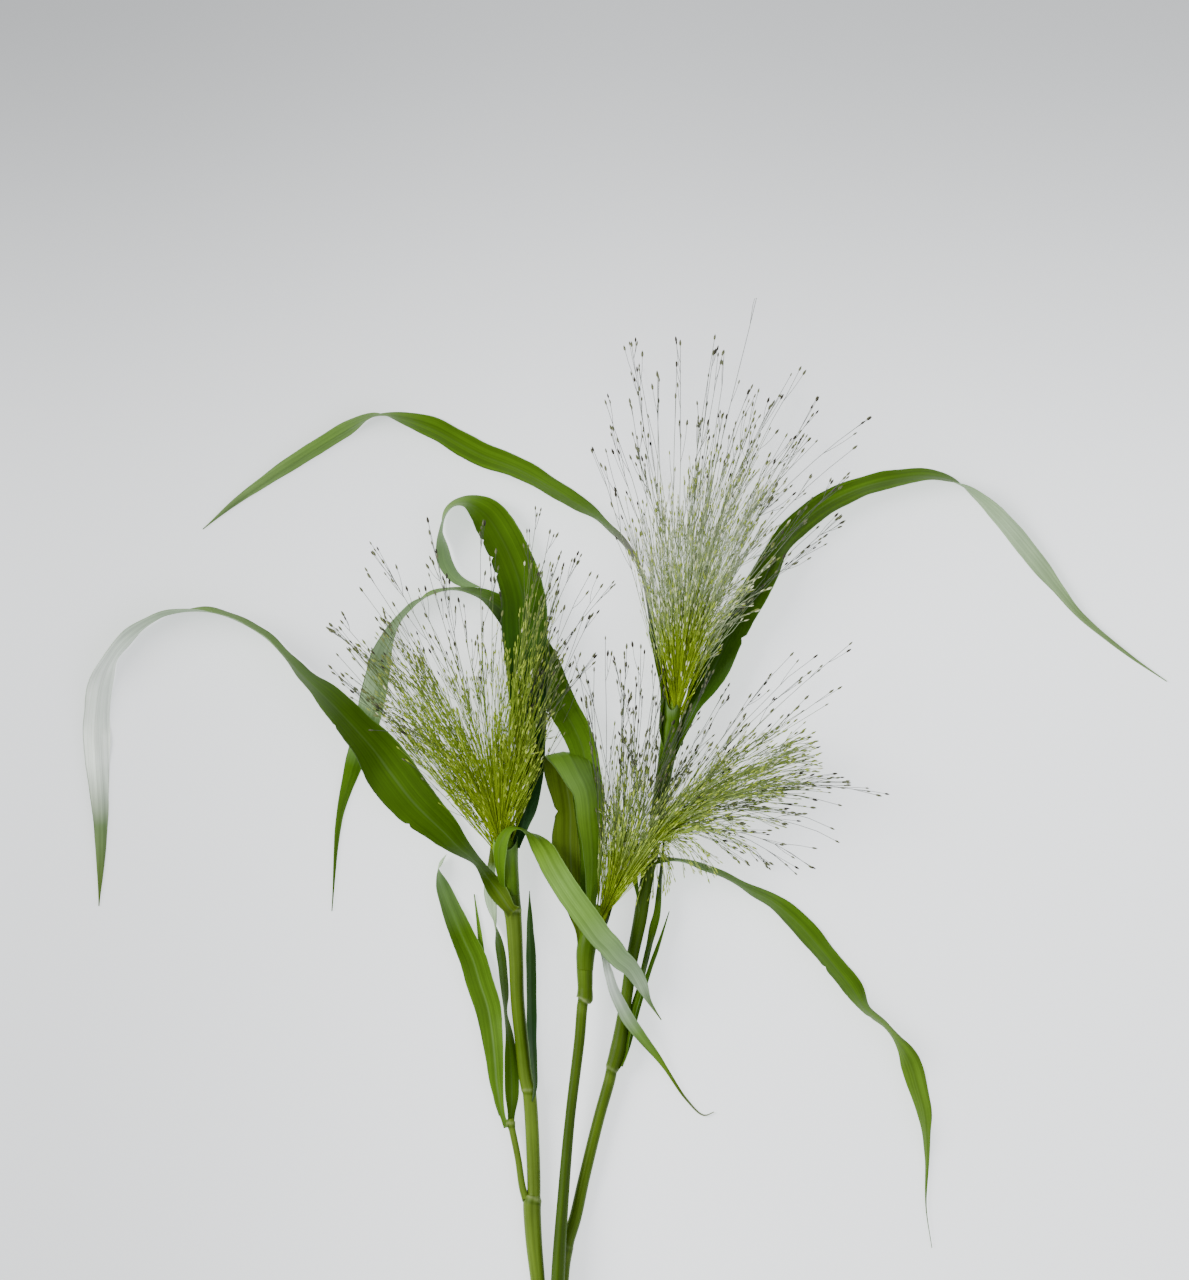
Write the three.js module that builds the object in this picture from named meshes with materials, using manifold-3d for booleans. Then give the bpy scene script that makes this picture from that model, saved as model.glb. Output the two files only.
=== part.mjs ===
// A bunch of cut fountain grass lying on a surface: three leafy culms with airy seed heads.
// Millimetres. The cut ends point to -Y, the seed heads to +Y, and the surface is the plane z = 0.

import * as THREE from "three";
import { mergeVertices } from "three/addons/utils/BufferGeometryUtils.js";
import Module from "manifold-3d";

const wasm = await Module();
wasm.setup();

// Driving dimensions
const BLADE_THICKNESS = 0.7;
const BLADE_CHANNEL = 0.07; // depth of the channel along a blade, as a share of its width
const BLADE_STEPS = 2; // rings for each stretch between two stations
const SURFACE_GAP = 0.05; // a blade that rests on the surface keeps this much clear of it
const CULM_SIDES = 8;
const CUT_SLANT = 0.7; // how far a cut end runs along the culm for each mm across it
const RAY_RADIUS = 0.38; // a seed head's ray where it leaves the axis
const RAY_TIP_RADIUS = 0.2;
const SPIKELET_RADIUS = 0.7;
const SPIKELET_LENGTH = 2.6;
const AXIS_RADIUS = 1.5;
const RAY_ARCH = 0.06; // how high a ray arches on its way, as a share of its length
const RAY_LEAN = 0.07; // how far its middle leans along the axis, as a share of its length
const RAY_MIDDLE = 0.45; // where that middle is between the ray's two ends
const AXIS_TAPER = 0.5; // how much thinner the axis is at its crown
const INNER_LENGTHS = [0.6, 0.95]; // the rays between the listed ones, as shares of their length
const INNER_DROP = 0.15; // how much lower on the axis they may start
const INNER_SINK = 0.25; // the share of the lift by which the lowest of them sinks

// Culms, as stations [x, y, z, radius] from the cut end to the seed head.
// A short run of larger radii is a joint, and the wider top of a culm is its last leaf sheath.
const CULMS = {
  culm_left: [
    [-28.3, -218.3, 2.7, 2.6],
    [-28.2, -130, 2.7, 2.6],
    [-28.3, -125, 3.0, 3.0],
    [-28.4, -120, 2.7, 2.5],
    [-29.5, -108.3, 2.7, 2.45],
    [-30.8, -95, 2.8, 2.75],
    [-31.2, -83.3, 3.1, 2.95],
    [-30.8, -80, 2.7, 2.3],
    [-31.2, -61.7, 2.8, 2.3],
    [-32.3, -46, 3.1, 2.45],
    [-33.2, -41.7, 3.2, 2.25],
    [-34.9, -28.3, 3.6, 2.25],
    [-36.2, -15, 4.0, 2.3],
    [-36.7, -1.7, 4.4, 2.45],
    [-37.5, 11.7, 4.9, 2.75],
    [-37.9, 15.3, 5.2, 3.0],
    [-38.7, 25, 6.0, 2.9],
    [-39.2, 33, 7.0, 3.0],
    [-39.9, 37, 7.5, 2.6],
    [-41.4, 40.5, 7.9, 1.7],
    [-42.2, 42.4, 8.1, 1.5],
  ],
  culm_middle: [
    [-24.4, -218.3, 7.6, 2.2],
    [-23.9, -160, 7.4, 2.3],
    [-22.7, -108.3, 7.5, 2.3],
    [-21, -81.7, 7.4, 1.95],
    [-18.7, -55, 7.2, 1.7],
    [-15.5, -28.3, 7.4, 1.85],
    [-14.3, -16.3, 7.6, 1.95],
    [-13.7, -14.4, 7.7, 2.8],
    [-13.6, -10, 7.8, 2.5],
    [-13.7, -1.7, 7.9, 2.6],
    [-13.2, 3.3, 8.1, 3.1],
    [-11.8, 8, 8.5, 2.4],
    [-10.2, 13.3, 9.2, 1.7],
    [-9.0, 16.5, 9.8, 1.4],
  ],
  culm_right: [
    [-20.4, -218.3, 2.3, 2.1],
    [-21.0, -150, 2.4, 2.1],
    [-21.1, -108.3, 2.5, 2.1],
    [-20.2, -99, 2.7, 2.5],
    [-19.3, -95.5, 2.6, 2.2],
    [-17.0, -88.3, 2.7, 2.1],
    [-14.0, -75, 2.9, 1.95],
    [-9.1, -55, 3.3, 1.9],
    [-5.6, -41.7, 3.6, 1.85],
    [-4.3, -37.3, 3.8, 2.5],
    [-3.3, -32.5, 3.8, 2.2],
    [-0.3, -16, 4.2, 1.7],
    [2.0, -1.7, 4.7, 1.7],
    [4.6, 11.7, 5.2, 2.1],
    [6.0, 20, 5.6, 2.3],
    [8.2, 31.7, 6.1, 2.0],
    [12.0, 56, 7.1, 2.0],
    [13.6, 70, 7.7, 2.0],
    [15.3, 78.3, 8.0, 2.0],
    [16.6, 86, 8.2, 1.3],
  ],
  side_shoot: [
    [-34.6, -77.6, 3.6, 1.2],
    [-36.0, -68.3, 3.6, 1.1],
    [-38.0, -58.5, 3.6, 1.15],
    [-38.5, -56.3, 3.6, 1.6],
    [-38.8, -54.9, 3.6, 1.2],
  ],
};

// Leaf blades, as stations [x, y, z, width, roll] from the sheath to the tip. The roll is in degrees:
// 0 lies flat with the upper face up, 90 stands on edge, and past 90 the underside shows.
const BLADES = {
  leaf_upper_left: [
    [11.5, 76, 8.8, 5, 70],
    [12.6, 88, 8.4, 6.5, 62],
    [9.1, 104.8, 7, 9, 68],
    [7.4, 115.2, 6, 9.5, 77],
    [5.1, 126.8, 5.5, 9.5, 82],
    [1.2, 134.2, 5.2, 9.5, 76],
    [-8.5, 144.8, 5, 9.5, 72],
    [-16.7, 150.5, 4.2, 9.5, 52],
    [-35.3, 161.6, 3.4, 9.8, 42],
    [-48.7, 166.9, 3, 10, 31],
    [-64.7, 175.4, 3.4, 9.5, 38],
    [-74, 178.6, 4, 9, 58],
    [-82, 180, 4.6, 8.4, 84],
    [-87, 178.6, 4.4, 8, 102],
    [-94.2, 174.6, 3.4, 7.4, 126],
    [-112.6, 163.2, 2.2, 6, 134],
    [-130.2, 151.3, 1.2, 2.8, 138],
    [-141.5, 142, 0.6, 0.4, 140],
  ],
  leaf_upper_right: [
    [19.8, 76.5, 8.4, 5.5, -50],
    [22.2, 82.5, 7.6, 8, -44],
    [28.6, 94.1, 6, 11, -18],
    [35.6, 108, 5, 11.4, -28],
    [45.7, 124.7, 4.4, 11.2, -36],
    [52.5, 137.6, 4.6, 10.8, -47],
    [58.9, 144.2, 4, 10.4, -37],
    [68.3, 151, 3.8, 10, -36],
    [79.3, 155.9, 4, 9.5, -44],
    [89.8, 158.5, 4.2, 9, -46],
    [99.7, 159.7, 4.2, 8.5, -58],
    [106.8, 158.7, 4.2, 8.1, -71],
    [113.2, 155.9, 4.2, 7.8, -92],
    [123.7, 146.9, 3, 7.2, -130],
    [138.3, 129.7, 2, 6.2, -152],
    [144.7, 121.5, 1.5, 4.6, -138],
    [151.7, 113.3, 1.2, 3, -135],
    [168, 100, 0.8, 1.4, -140],
    [180.9, 91.1, 0.5, 0.4, -140],
  ],
  leaf_far_left: [
    [-38.8, 15.6, 9.9, 4.2, 0],
    [-41.6, 19.6, 9.9, 6, 6],
    [-46, 25.4, 8.6, 7.6, 52],
    [-49.7, 30.4, 7.4, 9, 70],
    [-56, 35.8, 6.8, 11.5, 54],
    [-60, 40, 6.5, 13, 40],
    [-70.7, 50.5, 6, 15.5, 15],
    [-78.3, 60.3, 7, 16.8, 6],
    [-84.5, 68.7, 8.2, 16.5, 34],
    [-92.5, 77.7, 9.2, 16, 48],
    [-99.8, 85.3, 8.6, 15.5, 57],
    [-107.5, 92.7, 8, 15, 74],
    [-121.8, 107, 7.6, 14, 82],
    [-138.5, 114.3, 7, 13, 81],
    [-154.7, 112.8, 6.6, 12.2, 94],
    [-166.7, 104.7, 6, 11.6, 106],
    [-172, 97.7, 5.6, 11.2, 108],
    [-174.7, 91, 4.6, 10.6, 126],
    [-176.3, 81.5, 3.6, 10, 137],
    [-176.7, 71.7, 2.8, 9.4, 149],
    [-175.5, 47.3, 1.8, 6, 142],
    [-175.5, 31.7, 1.2, 3.4, 138],
    [-176.2, 16, 0.6, 0.4, 140],
  ],
  leaf_looped: [
    [-34.4, 43.5, 8, 4.6, -10],
    [-33.2, 49, 8, 7.2, -8],
    [-31.8, 60, 7.4, 8.6, -2],
    [-32.5, 85, 9.7, 12.4, -4],
    [-33.4, 101.7, 9, 14.6, 0],
    [-34, 111.7, 8, 15.6, 4],
    [-34.2, 118.3, 7.2, 15, 10],
    [-38.2, 131.7, 6, 14.2, 14],
    [-45.4, 145, 6.8, 13.4, 24],
    [-49.3, 148.8, 7, 12.8, 46],
    [-53.3, 150.6, 6.8, 12, 66],
    [-57.6, 149.6, 6.4, 11, 76],
    [-60.2, 146.6, 6, 10, 77],
    [-61.3, 141.5, 5.4, 9, 82],
    [-60.9, 135.6, 4.8, 8, 106],
    [-59.5, 129.9, 4.2, 7, 114],
    [-55.7, 125.2, 3.6, 5.2, 112],
    [-48.5, 122.6, 2.4, 0.5, 110],
  ],
  leaf_ribbon: [
    [-12.2, 14, 12.6, 3.6, 20],
    [-12.2, 23.5, 14.4, 6.4, 18],
    [-11.8, 33.3, 15.8, 7.2, 16],
    [-11.9, 43.3, 16.6, 9.4, 14],
    [-12.6, 53, 17, 10.8, 14],
    [-13.2, 62, 16.6, 10.2, 30],
    [-14.2, 68.5, 14.8, 10, 46],
    [-17, 75, 12, 10, 26],
    [-20.3, 81, 8.8, 10.2, 4],
    [-23.7, 88.3, 5.6, 10.2, 0],
    [-27.4, 97.5, 3, 10, 2],
    [-32, 105, 2, 10, 6],
    [-37, 110.8, 1.8, 10, 14],
    [-42, 115.6, 3.2, 9.8, 42],
    [-46.8, 118.8, 4.4, 9.8, 62],
    [-50.2, 120.2, 5, 9.6, 75],
    [-58.3, 121.8, 5, 9.5, 85],
    [-65.7, 119.9, 5, 9.3, 86],
    [-70.9, 116.3, 4.8, 9.2, 102],
    [-76.8, 109.7, 4.6, 9.2, 108],
    [-80.7, 101.8, 4, 9.1, 130],
    [-82.7, 93.7, 2.6, 9, 150],
    [-84.5, 85.7, 1.4, 8.8, 168],
    [-88, 72, 1, 7.8, 176],
    [-91.5, 61.3, 1.2, 5.8, 158],
    [-95.7, 45.3, 1, 2.8, 142],
    [-98.3, 14.3, 0.6, 0.4, 140],
  ],
  leaf_folded: [
    [-15.8, 8.2, 9.4, 2.2, 0],
    [-16.7, 14, 9.6, 5.2, 0],
    [-17.9, 24, 9.6, 10, 0],
    [-18.6, 38, 9.6, 12.4, 0],
    [-18.6, 48, 9.6, 10.2, 0],
    [-20.4, 60, 9.6, 13.2, 0],
    [-21.2, 66.4, 10.1, 13.4, 0],
    [-21.2, 67.6, 11.6, 13.2, 0],
    [-20.4, 66.2, 13, 12.4, -2],
    [-18, 61, 13.2, 9, -8],
    [-15, 53, 12.8, 7.2, -16],
    [-13.8, 44, 12.2, 7, -24],
    [-13.6, 33, 12, 6.8, -34],
    [-14.9, 23, 12.4, 6.4, -50],
    [-15.4, 16, 13.2, 6.2, -54],
    [-13.1, 10.3, 14.6, 6.4, -60],
    [-9.6, 5.3, 14.6, 6.2, -52],
    [-7, -0.3, 13.8, 5.6, -38],
    [-5.6, -5.5, 12.8, 5.2, -24],
    [-4.1, -10.8, 11.9, 4.9, -12],
    [-1.2, -17.2, 10.9, 4.8, 4],
    [1, -21.4, 10.3, 4.6, 14],
    [5.6, -27.8, 7.6, 3.5, 18],
    [10.6, -34.2, 3.9, 2.3, 18],
    [13.5, -38.4, 2.7, 1.5, 14],
    [20.3, -48.6, 1.3, 1, 0],
    [26, -53.9, 0.8, 0.7, 0],
    [29.5, -52.8, 0.6, 0.4, 0],
  ],
  leaf_flag: [
    [-42.2, 30, 11, 4.6, 140],
    [-42.2, 35, 12.2, 5.8, 138],
    [-41, 39.2, 13.2, 6, 124],
    [-38.8, 41.9, 14, 6, 100],
    [-36, 42.5, 14.6, 6.2, 68],
    [-33.3, 41.6, 15.2, 6.6, 64],
    [-30.6, 39.7, 16, 7, 90],
    [-27.4, 35.5, 17, 7.4, 126],
    [-24.2, 29.3, 18.4, 8, 148],
    [-19.7, 22, 20, 8.4, 156],
    [-12.5, 12, 21, 8.4, 152],
    [-8.3, 6.3, 20.6, 8, 152],
    [-5.3, 3.2, 19.8, 7.8, 154],
    [-2, -0.8, 18, 7, 138],
    [1.5, -3.8, 16, 6, 130],
    [5, -9.3, 12.4, 4.6, 138],
    [7.8, -15.5, 8.4, 1.6, 140],
    [11.8, -21.8, 5.5, 0.4, 140],
  ],
  leaf_lower_right: [
    [-6.6, 11, 9, 3, -60],
    [-4.7, 17.3, 9.8, 3.8, -62],
    [-1.3, 23, 10.6, 4.4, -62],
    [5.7, 29.8, 11.2, 4.8, -64],
    [11.9, 31.4, 10.8, 5.6, -72],
    [18, 31.3, 9, 6.8, -80],
    [24.8, 29.2, 7.6, 8, -70],
    [32, 26.3, 6, 8.4, -73],
    [40.4, 21.8, 5, 8.8, -64],
    [49, 17.3, 4.6, 9.2, -51],
    [57.8, 9.8, 4, 9.6, -37],
    [69.9, -4.5, 3.8, 9.5, -39],
    [75, -11, 3.8, 9.3, -37],
    [79.7, -18.3, 4.4, 9.2, -62],
    [86, -23.7, 4.8, 9, -69],
    [90.9, -30, 4.4, 8.8, -56],
    [94.7, -36.3, 2.8, 8.5, -22],
    [97.3, -44.7, 2.2, 8, -24],
    [99.5, -53.2, 1.8, 7, -32],
    [100.2, -61, 1.4, 4.8, -40],
    [100.6, -68.7, 1, 2.6, -40],
    [100.3, -84, 0.8, 0.8, -40],
    [102.3, -98.3, 0.6, 0.4, -40],
  ],
  leaf_thin_right: [
    [-0.3, -34.3, 5, 2.4, -60],
    [0.9, -27, 5, 3, -60],
    [2.8, -18, 5, 3.4, -50],
    [4.8, -11.3, 5.2, 3.6, -60],
    [6.2, -4.7, 5.4, 3.8, -62],
    [8.3, 4.2, 5.6, 4, -58],
    [9.3, 9, 5.8, 4, -48],
    [10.5, 14, 5.8, 3.8, -52],
    [11.6, 25, 5.4, 2.6, -62],
    [12.5, 36, 5.4, 1.4, -60],
    [12.7, 45, 5.6, 0.4, -60],
  ],
  leaf_spike: [
    [0.8, -31, 1.8, 1.6, -30],
    [4.4, -17, 1.8, 1.9, -30],
    [8.4, -4, 2, 1.9, -40],
    [10.6, 2.1, 2.2, 1.7, -40],
    [14.5, 14.3, 2.2, 0.4, -40],
  ],
  leaf_short: [
    [3.6, 21.4, 7.6, 1.4, 40],
    [2.8, 25.5, 7.6, 2.6, 40],
    [1.4, 32, 7.2, 2.8, 40],
    [-0.6, 40, 6.4, 2.2, 40],
    [-2.8, 48, 5.6, 0.4, 40],
  ],
  leaf_pointed: [
    [-30.4, -44, 5.5, 2.6, 60],
    [-31, -36, 5.8, 4, 56],
    [-31.6, -25, 5.8, 5, 50],
    [-31.8, -11.7, 6, 5, 50],
    [-31.9, 0, 6, 4.8, 48],
    [-32.2, 9, 5.8, 3.6, 50],
    [-32.2, 21.3, 5.4, 0.4, 50],
  ],
  leaf_shoot_tall: [
    [-38.4, -53.4, 3.8, 3.2, 40],
    [-38.2, -47, 3.6, 5, 26],
    [-38.5, -38, 3.4, 5.6, 36],
    [-39.1, -28, 3.4, 5.2, 56],
    [-40.5, -20, 3.2, 5, 80],
    [-40.7, -13.3, 3.2, 5.2, 62],
    [-41.5, -4, 3.2, 5.4, 57],
    [-42.7, 4, 3.2, 5.2, 62],
    [-43.7, 9.3, 3.2, 5, 88],
    [-45, 15.7, 2.6, 4.8, 132],
    [-45.6, 22, 1.6, 4.2, 164],
    [-45, 30, 1.4, 2.6, 165],
    [-45, 38, 1.2, 0.4, 165],
  ],
  leaf_shoot_left: [
    [-41.2, -53.5, 3.8, 2.2, -30],
    [-43.1, -43.3, 3.8, 4.6, -10],
    [-43.8, -35, 3.8, 6, -8],
    [-44.9, -25, 3.4, 7.6, -6],
    [-46.2, -17.7, 3.2, 8.8, 4],
    [-48.9, -9.3, 3, 9.2, 8],
    [-51.2, -1.7, 3, 9.2, 12],
    [-54.3, 5, 3, 8.6, 20],
    [-59.5, 17.3, 2.8, 7.2, 34],
    [-61.7, 23.3, 2.6, 6.2, 48],
    [-62.8, 27.7, 2.6, 5, 80],
    [-62.2, 30.3, 2.4, 3.6, 110],
    [-60, 33.3, 2, 0.4, 120],
  ],
  leaf_shoot_tip: [
    [-43.6, -48, 1.2, 1.4, 0],
    [-45.5, -20, 1, 2, 0],
    [-47.5, -5, 0.9, 2, 0],
    [-48.8, 6, 0.9, 1.6, 0],
    [-50.7, 20, 0.6, 0.4, 0],
  ],
};

// Seed heads. Each has an axis from root to crown, and fine rays that leave the axis and spread.
// reach lists the longest rays, right to left, as [heading in degrees from +X, length from the root,
// height of the tip, share of the axis where the ray leaves it]. Shorter rays stand between them.
const SEED_HEADS = {
  seed_head_left: {
    root: [-42.4, 43, 8.4],
    crown: [-45, 76, 13],
    between: 3,
    lift: 12,
    reach: [
      [60, 62, 16, 0.3],
      [65, 89, 15, 0.4],
      [74, 91, 17, 0.55],
      [83, 103.5, 18, 0.75],
      [93, 100, 20, 0.9],
      [103, 103.5, 19, 0.95],
      [114, 100, 16, 0.8],
      [120, 90, 15, 0.6],
      [130, 84, 15, 0.4],
      [137, 74, 14, 0.2],
    ],
  },
  seed_head_middle: {
    root: [-8.4, 18, 10.4],
    crown: [2, 42, 18],
    between: 3,
    lift: 12,
    reach: [
      [10, 70, 15, 0.4],
      [18, 80, 17, 0.5],
      [21.3, 98, 16, 0.55],
      [39, 85.5, 18, 0.7],
      [46, 118.6, 16, 0.8],
      [52.4, 103, 19, 0.9],
      [64, 84, 21, 0.95],
      [75, 76, 20, 0.9],
      [81, 85, 18, 0.85],
      [89, 87, 18, 0.8],
      [96, 81, 19, 0.75],
    ],
  },
  seed_head_right: {
    root: [17.2, 88, 8.6],
    crown: [20, 120, 15],
    between: 3,
    lift: 12,
    reach: [
      [47, 78, 14, 0.2],
      [51.6, 90, 16, 0.3],
      [55.6, 107.5, 15, 0.4],
      [64.7, 107, 17, 0.55],
      [69.3, 113.7, 18, 0.7],
      [78.7, 133, 16, 0.85],
      [84, 112, 20, 0.95],
      [89.6, 114.7, 18, 0.85],
      [97.6, 115.3, 16, 0.6],
      [104, 98, 16, 0.4],
      [109.3, 84.4, 15, 0.2],
    ],
  },
};

const COLOURS = {
  culm: 0x7c9148,
  blade: 0x4d7a35,
  underside: 0x7f9f76,
  seedHead: 0xa3ab52,
};
const ROUGHNESS = { culm: 0.5, blade: 0.45, seedHead: 0.7 };
const UNDERSIDE_UP = ["leaf_flag", "leaf_folded"];

const UP = new THREE.Vector3(0, 0, 1);
const GOLDEN = (Math.sqrt(5) - 1) / 2;
const PLASTIC = 0.7548776662466927; // spreads a third value evenly beside the golden ratio
const TWICE_GOLDEN = GOLDEN * 2; // spreads a fourth
const HALFWAY = 0.5;

const place = ([x, y, z]) => new THREE.Vector3(x, y, z);
const fraction = (value) => value - Math.floor(value);

// A closed skin over rings of points, with a fan at each end. The diagonals alternate from side to
// side, so the two faces of a blade follow each other.
function skin(rings) {
  const size = rings[0].length;
  const index = [];
  for (let i = 0; i + 1 < rings.length; i++) {
    for (let j = 0; j < size; j++) {
      const a = i * size + j;
      const b = i * size + ((j + 1) % size);
      if (j % 2 === 0) {
        index.push(a, b, a + size, b, b + size, a + size);
      } else {
        index.push(a, b, b + size, a, b + size, a + size);
      }
    }
  }
  const last = (rings.length - 1) * size;
  for (let j = 1; j + 1 < size; j++) {
    index.push(0, j + 1, j);
    index.push(last, last + j, last + j + 1);
  }
  const geometry = new THREE.BufferGeometry().setFromPoints(rings.flat());
  return geometry.setIndex(index);
}

// The smooth line through the stations, and the other two values that go with it.
function spine(stations) {
  const line = new THREE.CatmullRomCurve3(stations.map(place));
  const values = new THREE.SplineCurve(
    stations.map(([, , , first, second = 0]) => new THREE.Vector2(first, second)),
  );
  return { line, values };
}

// A round stem through its stations, with a slanting cut at its lower end.
function culm(stations) {
  const { line, values } = spine(stations);
  const rings = stations.map((station, i) => {
    const t = i / (stations.length - 1);
    const centre = line.getPoint(t);
    const along = line.getTangent(t);
    const side = new THREE.Vector3().crossVectors(UP, along).normalize();
    const up = new THREE.Vector3().crossVectors(along, side);
    const radius = values.getPoint(t).x;
    return Array.from({ length: CULM_SIDES }, (_, j) => {
      const angle = ((j + 0.5) / CULM_SIDES) * 2 * Math.PI;
      const point = centre.clone();
      point.addScaledVector(side, radius * Math.cos(angle));
      point.addScaledVector(up, radius * Math.sin(angle));
      const slant = i === 0 ? CUT_SLANT * radius * Math.sin(angle) : 0;
      return point.addScaledVector(along, slant);
    });
  });
  return skin(rings);
}

// A leaf blade with a shallow channel. Its width direction is carried along the midrib without
// twisting and then turned by the roll, so a blade can fold right over.
function blade(stations) {
  const { line, values } = spine(stations);
  const count = (stations.length - 1) * BLADE_STEPS;
  const side = new THREE.Vector3().crossVectors(UP, line.getTangent(0)).normalize();
  const rings = [];
  for (let i = 0; i <= count; i++) {
    const t = i / count;
    const centre = line.getPoint(t);
    const along = line.getTangent(t);
    side.addScaledVector(along, -side.dot(along)).normalize();
    const up = new THREE.Vector3().crossVectors(along, side);
    const { x: width, y: roll } = values.getPoint(t);
    const angle = THREE.MathUtils.degToRad(roll);
    const across = side.clone().multiplyScalar(Math.cos(angle));
    across.addScaledVector(up, Math.sin(angle));
    const face = new THREE.Vector3().crossVectors(along, across);
    const half = Math.max(width, 0.3) / 2;
    const thick = Math.min(BLADE_THICKNESS, 0.3 + 0.25 * half) / 2;
    const rim = BLADE_CHANNEL * 2 * half;
    const ring = [
      centre.clone().addScaledVector(face, thick),
      centre.clone().addScaledVector(across, -half).addScaledVector(face, rim),
      centre.clone().addScaledVector(face, -thick),
      centre.clone().addScaledVector(across, half).addScaledVector(face, rim),
    ];
    const lowest = Math.min(...ring.map((point) => point.z));
    const lift = Math.max(0, SURFACE_GAP - lowest);
    ring.forEach((point) => {
      point.z += lift;
    });
    rings.push(ring);
  }
  return skin(rings);
}

// A geometry as a solid that can be joined to others.
function solid(geometry) {
  const bare = mergeVertices(geometry);
  return new wasm.Manifold(
    new wasm.Mesh({
      numProp: 3,
      vertProperties: new Float32Array(bare.attributes.position.array),
      triVerts: new Uint32Array(bare.index.array),
    }),
  );
}

// A three-sided tapering rod through [centre, radius] rings.
function rod(rings) {
  const sides = 3;
  return skin(
    rings.map(([centre, radius], i) => {
      const before = rings[Math.max(0, i - 1)][0];
      const after = rings[Math.min(rings.length - 1, i + 1)][0];
      const along = after.clone().sub(before).normalize();
      const side = new THREE.Vector3().crossVectors(UP, along).normalize();
      const up = new THREE.Vector3().crossVectors(along, side);
      return Array.from({ length: sides }, (_, j) => {
        const angle = (j / sides) * 2 * Math.PI;
        return centre
          .clone()
          .addScaledVector(side, radius * Math.cos(angle))
          .addScaledVector(up, radius * Math.sin(angle));
      });
    }),
  );
}

// The values between two rows of a list, for a step that may fall between them.
function valuesAt(rows, step) {
  const first = Math.min(Math.floor(step), rows.length - 2);
  const share = step - first;
  return rows[first].map((value, k) => THREE.MathUtils.lerp(value, rows[first + 1][k], share));
}

// A seed head: the axis with its rays joined to it, each ray ending in one spikelet. The rays at the
// sides of the spray leave the axis lowest, so they do not cross.
function seedHead({ root, crown, between, lift, reach }) {
  const start = place(root);
  const top = place(crown);
  const lean = top.clone().sub(start).normalize();
  const axis = [0, HALFWAY, 1].map((share) => [
    start.clone().lerp(top, share),
    AXIS_RADIUS * (1 - AXIS_TAPER * share),
  ]);
  let whole = solid(rod(axis));
  const count = (reach.length - 1) * (between + 1);
  const [shortest, fullest] = INNER_LENGTHS;
  for (let i = 0; i <= count; i++) {
    const step = i / (between + 1);
    const [heading, longest, height, leaves] = valuesAt(reach, step);
    const inner = i % (between + 1) > 0;
    const share = inner ? THREE.MathUtils.lerp(fullest, shortest, fraction(i * GOLDEN)) : 1;
    const length = longest * share;
    const raise = inner ? lift * (fraction(i * PLASTIC) - INNER_SINK) : 0;
    const angle = THREE.MathUtils.degToRad(heading);
    const along = inner ? leaves - INNER_DROP * fraction(i * TWICE_GOLDEN) : leaves;
    const from = start.clone().lerp(top, along);
    const tip = start.clone();
    tip.x += length * Math.cos(angle);
    tip.y += length * Math.sin(angle);
    tip.z = height + raise;
    const bend = from.clone().lerp(tip, RAY_MIDDLE).addScaledVector(lean, RAY_LEAN * length);
    bend.z += RAY_ARCH * length;
    const path = new THREE.QuadraticBezierCurve3(from, bend, tip);
    const neck = 1 - SPIKELET_LENGTH / length;
    const ray = rod([
      [path.getPoint(0), RAY_RADIUS],
      [path.getPoint(HALFWAY), RAY_RADIUS],
      [path.getPoint(neck), RAY_TIP_RADIUS],
      [path.getPoint(1), SPIKELET_RADIUS],
    ]);
    whole = whole.add(solid(ray));
  }
  const { vertProperties, triVerts } = whole.getMesh();
  const geometry = new THREE.BufferGeometry();
  geometry.setAttribute("position", new THREE.BufferAttribute(vertProperties, 3));
  return geometry.setIndex(new THREE.BufferAttribute(triVerts, 1));
}

function named(name, geometry, color, roughness) {
  const material = new THREE.MeshStandardMaterial({ color, roughness, metalness: 0 });
  const mesh = new THREE.Mesh(geometry, material);
  mesh.name = name;
  return mesh;
}

const bunch = new THREE.Group();
for (const [name, stations] of Object.entries(CULMS)) {
  bunch.add(named(name, culm(stations), COLOURS.culm, ROUGHNESS.culm));
}
for (const [name, stations] of Object.entries(BLADES)) {
  const color = UNDERSIDE_UP.includes(name) ? COLOURS.underside : COLOURS.blade;
  bunch.add(named(name, blade(stations), color, ROUGHNESS.blade));
}
for (const [name, parts] of Object.entries(SEED_HEADS)) {
  bunch.add(named(name, seedHead(parts), COLOURS.seedHead, ROUGHNESS.seedHead));
}

export default bunch;
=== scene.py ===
"""A bunch of cut fountain grass lying on a pale floor: every piece dressed over its CAD node."""

import math

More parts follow.
